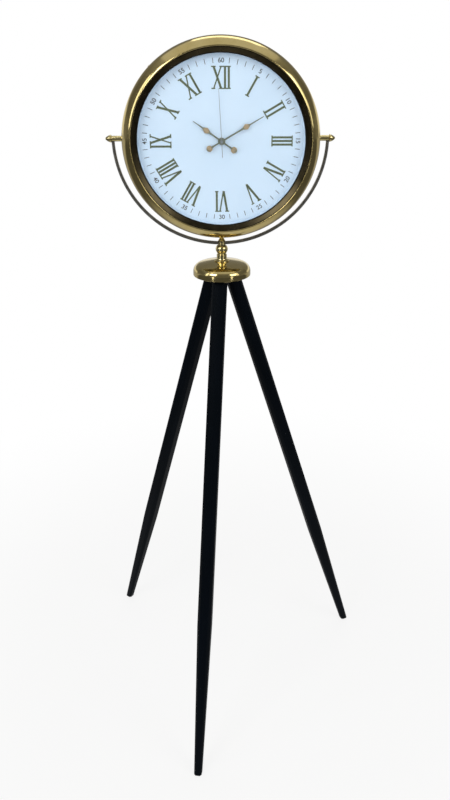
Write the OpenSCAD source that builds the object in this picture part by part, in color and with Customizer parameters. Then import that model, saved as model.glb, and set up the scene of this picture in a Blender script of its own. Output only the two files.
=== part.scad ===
// Tripod floor clock: a round brass drum clock that tilts in a half-ring yoke.
// The yoke swivels on a turned brass spindle above a domed hub, and three
// splayed wooden legs carry the hub. All sizes are in millimetres, +Z is up.

/* [Stand] */
// Height of the hub cap's rim above the floor
hub_h = 1063; // [700:1:1300]
// Distance from the stand's axis to each foot
foot_r = 362; // [260:1:450]
// Distance from the stand's axis to each leg's centre line at the hub rim
leg_top_r = 22.5; // [22:0.5:26]
// Turn of the tripod against the clock's front, seen from above
tripod_turn = -11; // [-30:1:30]

/* [Legs] */
// Width of a leg across its flats
leg_w = 31; // [24:0.5:32]
// Width of a leg across its flats at the foot
leg_tip_w = 17; // [15:0.5:24]
// Size of the chamfer along a leg's four corners
leg_chamfer = 6.5; // [3:0.5:8]
// Length of the tapered stretch above the foot
leg_taper = 345; // [150:5:500]
// Radius that rounds the foot of a leg
leg_tip_r = 12; // [10:0.5:16]
// Radius of the threaded stud in a leg's top
leg_stud_r = 4; // [3:0.5:5]
// Depth of the stud in the leg
leg_stud_depth = 32; // [20:1:50]
// Reach of the stud in the hub block
leg_stud_reach = 15; // [8:1:16]
// Thickness of the glide under each foot
glide_t = 2.5; // [2:0.5:5]
// Radius of the glide under each foot
glide_r = 6.5; // [4:0.5:7]

/* [Hub] */
// Outer radius of the hub cap
cap_r = 62.5; // [56:0.5:75]
// Height of the hub cap's straight side wall
cap_wall_h = 8; // [8:0.5:20]
// Radius of the hub cap's rounded shoulder
cap_shoulder_r = 17; // [14:0.5:22]
// Slope of the crown where it leaves the shoulder, in degrees
cap_crown_slope = 15; // [10:1:20]
// Radius of the flat in the middle of the crown
cap_flat_r = 18; // [17:0.5:22]
// Wall thickness of the hub cap
cap_t = 1.5; // [1:0.1:2.5]
// Distance from the hub cap's outside in to the side of its block
block_room = 12.5; // [11.5:0.5:16.5]
// Height of the legs' seat above the hub cap's rim
block_seat = 3; // [1:0.5:6]
// Thickness of the block inside the hub cap
block_t = 19; // [18:0.5:19.5]
// Radius of the block's central boss
boss_r = 14; // [12:0.5:17]

/* [Spindle] */
// Height of the spindle from the hub cap to the seat of the yoke
spindle_h = 34.5; // [30:0.5:80]
// Radius of the spindle's foot flange
flange_r = 16; // [14:0.5:17]
// Radius of the spindle's column
column_r = 11; // [7:0.1:12]
// Radius of the spindle's ball
ball_r = 13.2; // [11:0.1:16]
// Height of the spindle's ball
ball_h = 15.5; // [12:0.5:20]
// Radius of the stud below the spindle
lower_stud_r = 4; // [3:0.5:5]
// Radius of the stud above the spindle
upper_stud_r = 3; // [2:0.5:3.5]
// Height of the pointed finial nut
finial_h = 10.5; // [7:0.5:11]
// Radius of the finial nut's base
finial_r = 7.7; // [6:0.1:9]
// Thickness of each swivel washer
swivel_washer_t = 0.8; // [0.5:0.1:1.5]

/* [Yoke] */
// Room between the drum's side and the inside of the yoke
yoke_room = 18; // [13:0.5:40]
// Thickness of the yoke's strap
yoke_t = 5.5; // [3:0.1:6.5]
// Width of the yoke's strap
yoke_w = 10; // [6:0.5:11]
// Radius of the brass saddle that holds the strap's middle
saddle_r = 8.3; // [7.5:0.1:9]
// Thickness of the saddle's floor below the strap
saddle_t = 2; // [1:0.1:3]

/* [Pivots] */
// Outer radius of the pivot sleeves
sleeve_r = 5.75; // [5.6:0.05:8]
// Radius of the clamp screws' shanks
shank_r = 3; // [2:0.1:4]
// Radius of the acorn knobs
knob_r = 7.8; // [6.5:0.1:11]
// Length of the acorn knobs
knob_h = 12.4; // [10:0.1:20]
// Thickness of the pivot washers
pivot_washer_t = 1; // [0.5:0.1:2]
// Radius of the pivot washers
pivot_washer_r = 8; // [6:0.1:10]
// Length of the threaded pivot nuts
pivot_nut_h = 8; // [5:0.5:12]
// Radius of the threaded pivot nuts
pivot_nut_r = 7; // [5.5:0.5:9]

/* [Drum] */
// Outer radius of the bezel
drum_r = 200; // [150:0.5:260]
// Distance from the pivot axis to the bezel's foremost edge
crest_z = 65; // [63:0.5:68]
// Width of the bezel from its outside in to its foremost edge
bezel_w = 19; // [16.5:0.5:22]
// Radius of the bezel's rolled front
roll_r = 34; // [28:0.5:36]
// Distance from the pivot axis to the bezel skirt's rear edge
skirt_z = 10; // [9:0.5:20]
// Sheet thickness of bezel and case
sheet_t = 1.5; // [1:0.1:2]
// Distance from the pivot axis to the back of the case
back_z = 45; // [40:0.5:48]
// Radius of the case's rear edge
back_edge_r = 14; // [8:0.5:20]
// Radius of the round opening in the back
back_hole_r = 70; // [50:1:80]
// Width of the rear flange that carries the back plate
rear_flange_w = 12; // [10:0.5:20]
// Thickness of the back plate
plate_back_t = 1.2; // [0.8:0.1:2]
// Width by which the back cover laps over the back plate
cover_lap = 12; // [10:0.5:16]
// Height of the back cover's pressed centre
cover_dish = 2.5; // [1:0.5:4]

/* [Dial] */
// Distance from the pivot axis to the dial's face
dial_z = 45; // [44.5:0.1:46]
// Thickness of the dial plate
dial_t = 1; // [0.6:0.1:1.2]
// Width of the dark reveal ring, from the bezel's foremost edge in to its lip
reveal_w = 11.8; // [11:0.1:20]
// Distance from the dial's face to the lens
hand_room = 9.7; // [9.5:0.1:10]
// Thickness of the glass lens
lens_t = 2.5; // [2:0.1:3]
// Thickness of the lens gasket
gasket_t = 0.6; // [0.4:0.1:1]
// Width of the gasket that shows inside the reveal ring's lip
gasket_show = 2; // [0.5:0.1:2.5]
// Slope of the white flange between dial and lens, as a width
flange_slope = 4.5; // [2:0.5:6]
// Distance from the reveal ring's lip in to the middle of the hour numerals
numeral_inset = 47.7; // [42:0.1:60]
// Height of the hour numerals
numeral_h = 43; // [30:0.5:46]
// Width of a numeral's thick strokes
stroke_w = 4.1; // [1.5:0.1:4.3]
// Relief of numerals and ticks above the dial
print_t = 0.3; // [0.2:0.05:0.5]
// Distance from the reveal ring's lip in to the middle of the minute ticks
tick_inset = 15.6; // [12:0.1:18]
// Length of the minute ticks
tick_l = 10; // [5:0.5:12]
// Width of the minute ticks
tick_w = 1.2; // [0.6:0.1:2]

/* [Hands] */
// Length of the hour hand from its arbor to its tip
hour_hand_l = 69; // [55:1:90]
// Length of the minute hand from its arbor to its tip
minute_hand_l = 97; // [80:1:140]
// Length of the second hand from its arbor to its tip
second_hand_l = 102; // [80:1:140]
// Length of the second hand's tail
second_tail_l = 32; // [20:1:45]
// Thickness of the hour and minute hands
hand_t = 0.6; // [0.4:0.1:0.7]
// Hour that the hands show
show_hour = 10; // [0:1:11]
// Minute that the hands show
show_minute = 10; // [0:1:59]
// Second that the hands show
show_second = -0.5; // [-0.5:0.5:59]

/* [Movement] */
// Outer width and height of the movement's case
movement_w = 56; // [56:0.5:60]
// Outer depth of the movement's case
movement_d = 17; // [17:0.1:20]
// Wall thickness of the movement's case
movement_t = 1.2; // [1:0.1:1.3]
// Radius of the threaded bush through the dial
bush_r = 4; // [3.6:0.1:4.5]
// Radius of the AA battery
battery_r = 7.1; // [6.8:0.05:7.15]
// Length of the AA battery's body
battery_l = 49; // [47:0.5:49]

/* [Gear train] */
// Distance from the centre arbor to the third arbor
third_distance = 9; // [9:0.01:9.1]
// Distance from the centre arbor to the motion-work arbor
motion_distance = 6; // [6:0.01:6.1]
// Distance from the centre arbor to the intermediate arbor
inter_distance = 8.75; // [8.75:0.01:8.85]
// Distance from the intermediate arbor to the rotor's arbor
rotor_distance = 6; // [6:0.01:6.1]
// Distance from the motion-work arbor to the setting arbor
setting_distance = 7.5; // [7.5:0.01:7.6]
// Thickness of the train's wheels
wheel_t = 0.6; // [0.4:0.1:0.7]

/* [Clearances] */
// Gap at faces that slide past each other
slide_gap = 0.3; // [0.2:0.05:0.4]
// Radial clearance of shafts that turn in bores
running_gap = 0.06; // [0.02:0.01:0.09]
// Radial clearance of pieces that are pressed or screwed together
seat_gap = 0.03; // [0.01:0.01:0.05]

/* [Hidden] */
$fn = 72;

// Colours as the object shows them.
gold = [0.65, 0.58, 0.40];
bronze = [0.20, 0.18, 0.11];
black_lacquer = [0.05, 0.06, 0.08];
dark_steel = [0.36, 0.36, 0.36];
dial_white = [0.84, 0.91, 0.97];
print_olive = [0.42, 0.42, 0.30];
hand_gold = [0.52, 0.47, 0.36];
black_plastic = [0.10, 0.10, 0.11];
steel = [0.70, 0.70, 0.72];

// Leg splay and the places of the feet.
leg_angle = atan((foot_r - leg_top_r) / hub_h);
leg_azimuths = [for (i = [0 : 2]) tripod_turn - 90 + 120 * i];
foot_xs = [for (a = leg_azimuths) foot_r * cos(a)];
foot_ys = [for (a = leg_azimuths) foot_r * sin(a)];
stand_x = -(max(foot_xs) + min(foot_xs)) / 2;
stand_y = -(max(foot_ys) + min(foot_ys)) / 2;

// Radii that follow the drum's.
yoke_r = drum_r + yoke_room + yoke_t / 2;
crest_r = drum_r - bezel_w;
lip_r = crest_r - reveal_w;
numeral_ring_r = lip_r - numeral_inset;
tick_ring_r = lip_r - tick_inset;

// Heights up the hub and spindle.
crown_r = (cap_r - cap_shoulder_r + cap_shoulder_r * sin(cap_crown_slope)) / sin(cap_crown_slope);
crown_z = cap_wall_h + cap_shoulder_r * cos(cap_crown_slope) - crown_r * cos(cap_crown_slope);
cap_h = crown_z + sqrt(crown_r * crown_r - cap_flat_r * cap_flat_r);
block_r = cap_r - block_room;
seat_h = hub_h + block_seat;
spindle_z = hub_h + cap_h;
saddle_z = spindle_z + spindle_h + swivel_washer_t + slide_gap;
strap_z = saddle_z + saddle_t;
finial_z = strap_z + yoke_t + slide_gap + swivel_washer_t;
pivot_h = strap_z + yoke_t / 2 + yoke_r;

// Places along the pivot axis, from the drum's centre outwards.
case_r = drum_r - sheet_t - slide_gap;
washer_x = case_r + seat_gap;
sleeve_in_x = washer_x + pivot_washer_t + slide_gap;
sleeve_out_x = yoke_r + yoke_t / 2;
knob_x = sleeve_out_x + slide_gap;
nut_x = case_r - sheet_t - seat_gap - pivot_nut_h;

// Places in front of the pivot axis.
roll_x = drum_r - roll_r;
roll_z = crest_z - sqrt(roll_r * roll_r - (crest_r - roll_x) * (crest_r - roll_x));
bead_r = 1.6;
return_r = crest_r - bead_r;
ring_r = return_r - slide_gap;
ring_t = 1.2;
packet_r = ring_r - ring_t - slide_gap;
flange_z = dial_z - dial_t;
lens_z = dial_z + hand_room;
gasket_z = lens_z + lens_t;
lip_z = gasket_z + gasket_t;
lip_t = 0.8;
return_depth = 7;

// Stack of bush, pipes and hands in front of the dial.
bush_washer_t = 0.4;
bush_nut_t = 1.8;
bush_end = dial_z + bush_washer_t + bush_nut_t + 0.4;
hour_back = bush_end + slide_gap;
hour_front = hour_back + 0.6 + hand_t;
minute_back = hour_front + 0.9;
minute_front = minute_back + 0.6 + hand_t;
second_back = minute_front + 0.9;
second_t = 0.4;
second_front = second_back + 0.4 + second_t;

// Depths inside the movement, named for the wheels that turn there.
cushion_t = 1;
movement_z = flange_z - cushion_t;
room_front = movement_z - movement_t;
room_back = movement_z - movement_d + movement_t;
hour_layer = room_front - slide_gap - wheel_t;
motion_layer = hour_layer - wheel_t - 0.8;
minute_layer = motion_layer - wheel_t - 0.8;
plate_t = 0.5;
plate_z = minute_layer - slide_gap - plate_t;
third_layer = plate_z - slide_gap - wheel_t;
seconds_layer = third_layer - wheel_t - 0.9;
inter_layer = seconds_layer - wheel_t - 0.9;
magnet_t = 2.2;
magnet_z = inter_layer - 0.8 - magnet_t;
stator_t = 0.8;
stator_z = magnet_z + (magnet_t - stator_t) / 2;
pivot_depth = 0.6;
arbor_back = room_back - pivot_depth;
arbor_front = room_front + pivot_depth;
plate_pivot_z = plate_z + plate_t - 0.1;

// Radii of arbors and pipes.
second_arbor_r = 0.45;
minute_pipe_r = 1.65;
hour_pipe_r = 2.5;
arbor_r = 0.4;
setting_arbor_r = 1.2;

// Tooth counts and modules of the meshing pairs.
seconds_pinion_n = 8;
third_wheel_n = 60;
third_module = 2 * third_distance / (seconds_pinion_n + third_wheel_n);
third_pinion_n = 8;
minute_wheel_n = 64;
minute_module = 2 * third_distance / (third_pinion_n + minute_wheel_n);
cannon_pinion_n = 12;
motion_wheel_n = 36;
motion_module = 2 * motion_distance / (cannon_pinion_n + motion_wheel_n);
motion_pinion_n = 10;
hour_wheel_n = 40;
hour_module = 2 * motion_distance / (motion_pinion_n + hour_wheel_n);
setting_wheel_n = 24;
setting_module = 2 * setting_distance / (motion_wheel_n + setting_wheel_n);
inter_pinion_n = 10;
seconds_wheel_n = 60;
inter_module = 2 * inter_distance / (inter_pinion_n + seconds_wheel_n);
rotor_pinion_n = 8;
inter_wheel_n = 40;
rotor_module = 2 * rotor_distance / (rotor_pinion_n + inter_wheel_n);

// Directions from arbor to arbor, seen from the front, and the places they give.
third_dir = 60;
motion_dir = 180;
setting_dir = 150;
inter_dir = -15;
rotor_dir = 30;
third_at = third_distance * [cos(third_dir), sin(third_dir)];
motion_at = motion_distance * [cos(motion_dir), sin(motion_dir)];
setting_at = motion_at + setting_distance * [cos(setting_dir), sin(setting_dir)];
inter_at = inter_distance * [cos(inter_dir), sin(inter_dir)];
rotor_at = inter_at + rotor_distance * [cos(rotor_dir), sin(rotor_dir)];

// Angles of the hands, clockwise from twelve.
second_angle = 6 * show_second;
minute_angle = 6 * (show_minute + show_second / 60);
hour_angle = 30 * (show_hour + show_minute / 60 + show_second / 3600);

// Places of the movement's fittings.
battery_y = -movement_w / 2 + movement_t + battery_r + 0.2;
battery_z = (room_front + room_back) / 2;
wall_x = movement_w / 2 - movement_t;
plate_posts = [[17.5, -8], [14, 15], [-7, 14]];
board_posts = [[-20, 12], [-20, 22]];
post_r = 1.6;
board_z = room_back + 2.6;
board_t = 0.8;
coil_x = 21.6;
coil_r = 4;
coil_core_t = 1.2;
coil_z = stator_z + stator_t + coil_core_t / 2;
coil_low = -7;
coil_high = 13;
core_w = 3;

function arc(centre, radius, from, to, steps) =
    [for (i = [0 : steps]) centre + radius * [cos(from + (to - from) * i / steps), sin(from + (to - from) * i / steps)]];

// Outline of a wheel with pointed straight-sided teeth; a tooth points along turn.
function wheel_outline(teeth, gear_module, turn) =
    let (
        pitch_r = teeth * gear_module / 2,
        root_r = pitch_r - 1.1 * gear_module,
        tip_r = pitch_r + 0.7 * gear_module,
        half = 180 / teeth
    )
    [for (k = [0 : teeth - 1]) for (p = [[root_r, -0.52], [tip_r, -0.18], [tip_r, 0.18], [root_r, 0.52]])
        p[0] * [cos(turn + 2 * half * k + half * p[1]), sin(turn + 2 * half * k + half * p[1])]];

module on_stand() translate([stand_x, stand_y, 0]) children();

// Drum frame: x to the right, y up, z out through the dial.
module on_drum() on_stand() translate([0, 0, pivot_h]) rotate([90, 0, 0]) children();

// Leg frame: z runs up the leg's centre line from the floor.
module on_leg(i) on_stand() rotate([0, 0, leg_azimuths[i]]) translate([foot_r, 0, 0])
    rotate([0, -leg_angle, 0]) children();

// Pivot frame: z runs outwards along the pivot axis, side is -1 left or 1 right.
module on_pivot(side) on_stand() translate([0, 0, pivot_h]) rotate([0, 90 * side, 0]) children();

module ring(outer_r, inner_r, h) difference() {
    cylinder(r = outer_r, h = h);
    translate([0, 0, -1]) cylinder(r = inner_r, h = h + 2);
}

module hex(across, h) cylinder(r = across / sqrt(3), h = h, $fn = 6);

// Chamfered square section of a leg.
module leg_section(w, chamfer) polygon([
    [w / 2, chamfer - w / 2], [w / 2, w / 2 - chamfer], [w / 2 - chamfer, w / 2], [chamfer - w / 2, w / 2],
    [-w / 2, w / 2 - chamfer], [-w / 2, chamfer - w / 2], [chamfer - w / 2, -w / 2], [w / 2 - chamfer, -w / 2],
]);

leg_l = seat_h / cos(leg_angle);

module leg(i) color(black_lacquer) difference() {
    intersection() {
        on_leg(i) union() {
            translate([0, 0, leg_taper]) linear_extrude(leg_l) leg_section(leg_w, leg_chamfer);
            hull() {
                translate([0, 0, leg_taper]) linear_extrude(0.01) leg_section(leg_w, leg_chamfer);
                translate([0, 0, -10]) linear_extrude(0.01)
                    leg_section(leg_tip_w, leg_chamfer * leg_tip_w / leg_w);
            }
        }
        on_leg(i) union() {
            translate([0, 0, leg_tip_r - glide_t]) sphere(r = leg_tip_r);
            translate([0, 0, leg_tip_r - glide_t]) cylinder(r1 = leg_tip_r, r2 = leg_w, h = leg_taper);
            translate([0, 0, leg_taper]) cylinder(r = leg_w, h = leg_l);
        }
        on_stand() translate([-2 * foot_r, -2 * foot_r, glide_t]) cube([4 * foot_r, 4 * foot_r, seat_h - glide_t]);
    }
    on_leg(i) translate([0, 0, leg_l - leg_stud_depth]) cylinder(r = leg_stud_r + seat_gap, h = 2 * leg_stud_depth);
}

module leg_front() leg(0);
module leg_right() leg(1);
module leg_left() leg(2);

module foot_glides() color(black_plastic) on_stand() for (a = leg_azimuths)
    rotate([0, 0, a]) translate([foot_r - glide_t * tan(leg_angle), 0, 0]) cylinder(r = glide_r, h = glide_t);

module leg_studs() color(steel) for (i = [0 : 2])
    on_leg(i) translate([0, 0, leg_l - leg_stud_depth + 1]) cylinder(r = leg_stud_r, h = leg_stud_depth + leg_stud_reach);

// Profile of the domed cap, drawn in by the given inset.
function cap_profile(inset) = concat(
    [[cap_r - inset, 0]],
    arc([cap_r - cap_shoulder_r, cap_wall_h], cap_shoulder_r - inset, 0, 90 - cap_crown_slope, 12),
    arc([0, crown_z], crown_r - inset, 90 - cap_crown_slope, 90 - asin(cap_flat_r / crown_r), 8)
);

module hub_cap() color(gold) on_stand() translate([0, 0, hub_h]) difference() {
    rotate_extrude($fn = 120) polygon(concat([[0, 0]], cap_profile(0), [[0, cap_h]]));
    translate([0, 0, -0.01]) rotate_extrude($fn = 120)
        polygon(concat([[0, -1], [cap_r - cap_t, -1]], cap_profile(cap_t), [[0, cap_h - cap_t]]));
    cylinder(r = lower_stud_r + slide_gap, h = 2 * cap_h);
}

boss_top = crown_z + sqrt((crown_r - cap_t) * (crown_r - cap_t) - boss_r * boss_r) - 0.1;
counterbore_r = 2.4 * lower_stud_r;
counterbore_h = 2.25 * lower_stud_r;

module hub_block() color(dark_steel) difference() {
    on_stand() translate([0, 0, hub_h]) {
        translate([0, 0, block_seat]) cylinder(r = block_r, h = block_t);
        translate([0, 0, block_seat]) cylinder(r = boss_r, h = min(boss_top, cap_h - cap_t - 0.05) - block_seat);
    }
    on_stand() translate([0, 0, hub_h]) cylinder(r = lower_stud_r + slide_gap, h = 2 * cap_h);
    on_stand() translate([0, 0, seat_h - 1]) cylinder(r = counterbore_r, h = counterbore_h + 1);
    for (i = [0 : 2]) on_leg(i) translate([0, 0, leg_l - 5])
        cylinder(r = leg_stud_r + seat_gap, h = leg_stud_reach + 6.5);
}

washer_t = 1.5;
nut_h = 1.6 * lower_stud_r;
counter_z = seat_h + counterbore_h;

module spindle_washer() color(steel) on_stand() translate([0, 0, counter_z - washer_t])
    ring(2 * lower_stud_r + 1, lower_stud_r + slide_gap, washer_t);

module spindle_nut() color(steel) on_stand() translate([0, 0, counter_z - washer_t - nut_h]) difference() {
    hex(3.25 * lower_stud_r, nut_h);
    translate([0, 0, -1]) cylinder(r = lower_stud_r + seat_gap, h = nut_h + 2);
}

// Turned outline of the spindle: flange, cove, column, neck and ball.
cove_r = flange_r - column_r;
neck_r = 0.93 * column_r;
neck_z = spindle_h - ball_h;
ball_bulge = (ball_r - neck_r + ball_h * ball_h / 4 / (ball_r - neck_r)) / 2;

module spindle() color(gold) on_stand() translate([0, 0, spindle_z]) {
    rotate_extrude() polygon(concat(
        [[0, 0], [flange_r - 0.6, 0], [flange_r, 0.6], [flange_r, 1.8], [flange_r - 0.6, 2.4]],
        arc([flange_r - 0.6, 2.4 + cove_r], cove_r - 0.6, -90, -180, 10),
        [[column_r, neck_z - 5]],
        [[column_r, neck_z - 3.2], [neck_r, neck_z - 2.2], [neck_r, neck_z]],
        arc([ball_r - ball_bulge, neck_z + ball_h / 2], ball_bulge,
            -asin(ball_h / 2 / ball_bulge), asin(ball_h / 2 / ball_bulge), 14),
        [[0, spindle_h]]
    ));
    translate([0, 0, counter_z - washer_t - nut_h - spindle_z - 0.5])
        cylinder(r = lower_stud_r, h = spindle_z - counter_z + washer_t + nut_h + 1);
    cylinder(r = upper_stud_r, h = finial_z - spindle_z + 0.6 * finial_h);
}

module swivel_washers() color(black_plastic) on_stand() {
    translate([0, 0, spindle_z + spindle_h]) ring(finial_r, upper_stud_r + seat_gap, swivel_washer_t);
    translate([0, 0, strap_z + yoke_t + slide_gap]) ring(finial_r, upper_stud_r + seat_gap, swivel_washer_t);
}

module finial_nut() color(gold) on_stand() translate([0, 0, finial_z]) difference() {
    rotate_extrude() polygon(concat(
        [[0, 0], [finial_r - 0.4, 0], [finial_r, 0.4], [finial_r, 1.4]],
        [[0.84 * finial_r, 0.34 * finial_h], [0.62 * finial_r, 0.58 * finial_h], [0.36 * finial_r, 0.82 * finial_h]],
        arc([0, 0.8 * finial_h], 0.2 * finial_h, 30, 90, 5)
    ));
    translate([0, 0, -1]) cylinder(r = upper_stud_r + seat_gap, h = 0.64 * finial_h + 1);
}

module yoke() color(dark_steel) difference() {
    on_stand() translate([0, 0, pivot_h]) rotate([90, 0, 0]) difference() {
        translate([0, 0, -yoke_w / 2]) ring(yoke_r + yoke_t / 2, yoke_r - yoke_t / 2, yoke_w, $fn = 180);
        translate([-2 * yoke_r, 0, -yoke_w]) cube([4 * yoke_r, 2 * yoke_r, 2 * yoke_w]);
    }
    on_stand() translate([0, 0, strap_z - 5]) cylinder(r = upper_stud_r + running_gap, h = yoke_t + 10);
    for (side = [-1, 1]) on_pivot(side) translate([0, 0, yoke_r - yoke_t]) cylinder(r = sleeve_r + seat_gap, h = 2 * yoke_t);
}

// Turned disc with a slot milled across it, in which the strap lies.
module yoke_saddle() color(gold) on_stand() translate([0, 0, saddle_z]) difference() {
    cylinder(r = saddle_r, h = saddle_t + yoke_t);
    translate([-saddle_r - 1, -yoke_w / 2 - seat_gap, saddle_t]) cube([2 * saddle_r + 2, yoke_w + 2 * seat_gap, yoke_t + 1]);
    translate([0, 0, -1]) cylinder(r = upper_stud_r + running_gap, h = saddle_t + 2);
}

module pivot_sleeve(side) color(gold) on_pivot(side) translate([0, 0, sleeve_in_x])
    ring(sleeve_r, shank_r + running_gap, sleeve_out_x - sleeve_in_x);

module left_pivot_sleeve() pivot_sleeve(-1);
module right_pivot_sleeve() pivot_sleeve(1);

module clamp_knob(side) color(gold) on_pivot(side) {
    translate([0, 0, knob_x]) rotate_extrude() polygon(concat(
        [[0, 0], [knob_r - 0.7, 0], [knob_r, 0.7], [knob_r, 0.16 * knob_h]],
        arc([0.4 * knob_r, 0.2 * knob_h], 0.6 * knob_r, 0, 40, 5),
        arc([0, 0.72 * knob_h], 0.28 * knob_h, 35, 90, 6)
    ));
    translate([0, 0, nut_x]) cylinder(r = shank_r, h = knob_x - nut_x + 1);
}

module left_clamp_knob() clamp_knob(-1);
module right_clamp_knob() clamp_knob(1);

module pivot_washers() color(black_plastic) for (side = [-1, 1])
    on_pivot(side) translate([0, 0, washer_x]) ring(pivot_washer_r, shank_r + running_gap, pivot_washer_t);

nut_sag = case_r - sheet_t - sqrt((case_r - sheet_t) * (case_r - sheet_t) - pivot_nut_r * pivot_nut_r);

module pivot_nuts() color(steel) for (side = [-1, 1])
    on_pivot(side) translate([0, 0, nut_x - nut_sag]) ring(pivot_nut_r, shank_r + running_gap, pivot_nut_h);

// Case band: a straight wall whose rear edge is rounded in to a narrow flange.
pan_r = back_edge_r - sheet_t;
flange_in_r = case_r - back_edge_r - rear_flange_w;
band_in_r = case_r - sheet_t;

module drum_case() color(gold) difference() {
    on_drum() rotate_extrude($fn = 180) polygon(concat(
        [[case_r, roll_z]],
        arc([case_r - back_edge_r, back_edge_r - back_z], back_edge_r, 0, -90, 10),
        [[flange_in_r, -back_z], [flange_in_r, sheet_t - back_z]],
        arc([case_r - back_edge_r, back_edge_r - back_z], pan_r, -90, 0, 10),
        [[band_in_r, roll_z]]
    ));
    for (side = [-1, 1]) on_pivot(side) translate([0, 0, case_r - 10]) cylinder(r = shank_r + slide_gap, h = 20);
    for (a = bezel_screw_angles) on_bezel_screw(a) cylinder(r = bezel_screw_r + seat_gap, h = 20, center = true);
    for (a = plate_screw_angles) on_plate_screw(a) cylinder(r = bezel_screw_r + seat_gap, h = 20, center = true);
}

// Seat ring: a flat ring for the dial whose collar is fixed inside the case band.
// Its corner is drawn in to clear the inside of the bezel's rolled front.
corner_r = roll_x + sqrt((roll_r - sheet_t) * (roll_r - sheet_t) - (flange_z - roll_z) * (flange_z - roll_z)) - 0.7;
collar_r = band_in_r - seat_gap;
collar_h = 12;

module dial_seat_ring() color(dark_steel) on_drum() rotate_extrude($fn = 180) polygon([
    [lip_r - 4, flange_z], [min(corner_r, collar_r - 0.2), flange_z], [collar_r, roll_z], [collar_r, roll_z - collar_h],
    [collar_r - sheet_t, roll_z - collar_h], [collar_r - sheet_t, roll_z - 0.3],
    [min(corner_r, collar_r - 0.2) - sheet_t, flange_z - sheet_t], [lip_r - 4, flange_z - sheet_t],
]);

plate_screw_angles = [for (i = [0 : 5]) 60 * i];
plate_edge_r = case_r - back_edge_r - 2;
plate_face_z = -back_z - plate_back_t;
module on_plate_screw(a) on_drum() rotate([0, 0, a]) translate([flange_in_r + 4, 0, plate_face_z]) children();

module back_plate() color(black_plastic) difference() {
    on_drum() translate([0, 0, plate_face_z]) ring(plate_edge_r, back_hole_r, plate_back_t, $fn = 180);
    for (a = plate_screw_angles) on_plate_screw(a) cylinder(r = bezel_screw_r + seat_gap, h = 20, center = true);
    for (a = cover_screw_angles) on_cover_screw(a) cylinder(r = cover_screw_r + seat_gap, h = 20, center = true);
}

// A domed screw head on a short shank; its top points along +z.
module domed_screw(r) difference() {
    union() {
        translate([0, 0, -6]) cylinder(r = r, h = 6.1);
        intersection() {
            cylinder(r = 2 * r, h = 2);
            translate([0, 0, 1.1 - 5]) sphere(r = 5);
        }
    }
    translate([0, 0, 0.75]) cube([0.6, 5 * r, 0.8], center = true);
}

module back_plate_screws() color(steel) for (a = plate_screw_angles)
    on_plate_screw(a) translate([0, 0, -0.05]) rotate([180, 0, 0]) domed_screw(bezel_screw_r);

bezel_screw_angles = [for (i = [0 : 3]) 45 + 90 * i];
bezel_screw_r = 1.5;
bezel_screw_z = skirt_z + 8;
module on_bezel_screw(a) on_drum() rotate([0, 0, a]) translate([drum_r, 0, bezel_screw_z]) rotate([0, 90, 0]) children();

// Profile of the bezel: skirt, rolled front, crest and a short return wall.
roll_end = acos((crest_r - roll_x) / roll_r);
inner_end = acos((return_r + sheet_t - roll_x) / (roll_r - sheet_t));

module front_bezel() color(gold) difference() {
    on_drum() rotate_extrude($fn = 180) polygon(concat(
        [[drum_r - sheet_t, skirt_z], [drum_r, skirt_z]],
        arc([roll_x, roll_z], roll_r, 0, roll_end, 16),
        [[crest_r - 0.9, crest_z - 0.1], [return_r, crest_z - 1], [return_r, crest_z - return_depth],
         [return_r + sheet_t, crest_z - return_depth]],
        arc([roll_x, roll_z], roll_r - sheet_t, inner_end, 0, 16)
    ));
    for (a = bezel_screw_angles) on_bezel_screw(a) cylinder(r = bezel_screw_r + seat_gap, h = 20, center = true);
}

module bezel_screws() color(gold) for (a = bezel_screw_angles)
    on_bezel_screw(a) translate([0, 0, 0.05]) domed_screw(bezel_screw_r);

// Reveal ring: a sloped front band, its lip and an outer wall down to the case flange.
module reveal_ring() color(bronze) on_drum() rotate_extrude($fn = 180) polygon([
    [lip_r, lip_z], [packet_r + slide_gap, lip_z], [packet_r + slide_gap, flange_z], [ring_r, flange_z],
    [ring_r, crest_z - 0.8], [ring_r - 0.8, crest_z - 0.8], [lip_r + 0.6, lip_z + lip_t + 0.5], [lip_r, lip_z + lip_t],
]);

module lens_gasket() color(black_plastic) on_drum() translate([0, 0, gasket_z])
    ring(lip_r + 6, lip_r - gasket_show, gasket_t, $fn = 180);

module glass_lens() color([0.8, 0.9, 0.95, 0.3]) on_drum() translate([0, 0, lens_z]) cylinder(r = packet_r, h = lens_t, $fn = 180);

module dial_flange() color(dial_white) on_drum() rotate_extrude($fn = 180) polygon([
    [lip_r + 0.5 - flange_slope, dial_z], [packet_r, dial_z], [packet_r, lens_z], [lip_r + 0.5, lens_z],
    [lip_r + 0.5, lens_z - 1],
]);

module dial_plate() color(dial_white) on_drum() translate([0, 0, flange_z]) difference() {
    cylinder(r = packet_r, h = dial_t, $fn = 180);
    translate([0, 0, -1]) cylinder(r = bush_r + 0.2, h = dial_t + 2);
}

// Roman numerals drawn from thick and thin strokes with slab serifs.
thin_w = 0.66 * stroke_w;
serif_h = 0.055 * numeral_h;
glyph_widths = [["I", 0.165 * numeral_h], ["V", 0.5 * numeral_h], ["X", 0.5 * numeral_h]];
numeral_spreads = [1.04, 1.25, 1.3, 1, 0.92, 1, 0.98, 0.92, 0.94, 0.95, 0.85, 1.01];
numerals = [["X", "I", "I"], ["I"], ["I", "I"], ["I", "I", "I"], ["I", "V"], ["V"], ["V", "I"], ["V", "I", "I"],
            ["V", "I", "I", "I"], ["I", "X"], ["X"], ["X", "I"]];

function glyph_width(g) = glyph_widths[search([g], glyph_widths)[0]][1];
function run_width(glyphs, count) = count == 0 ? 0 : glyph_width(glyphs[count - 1]) + run_width(glyphs, count - 1);

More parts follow.
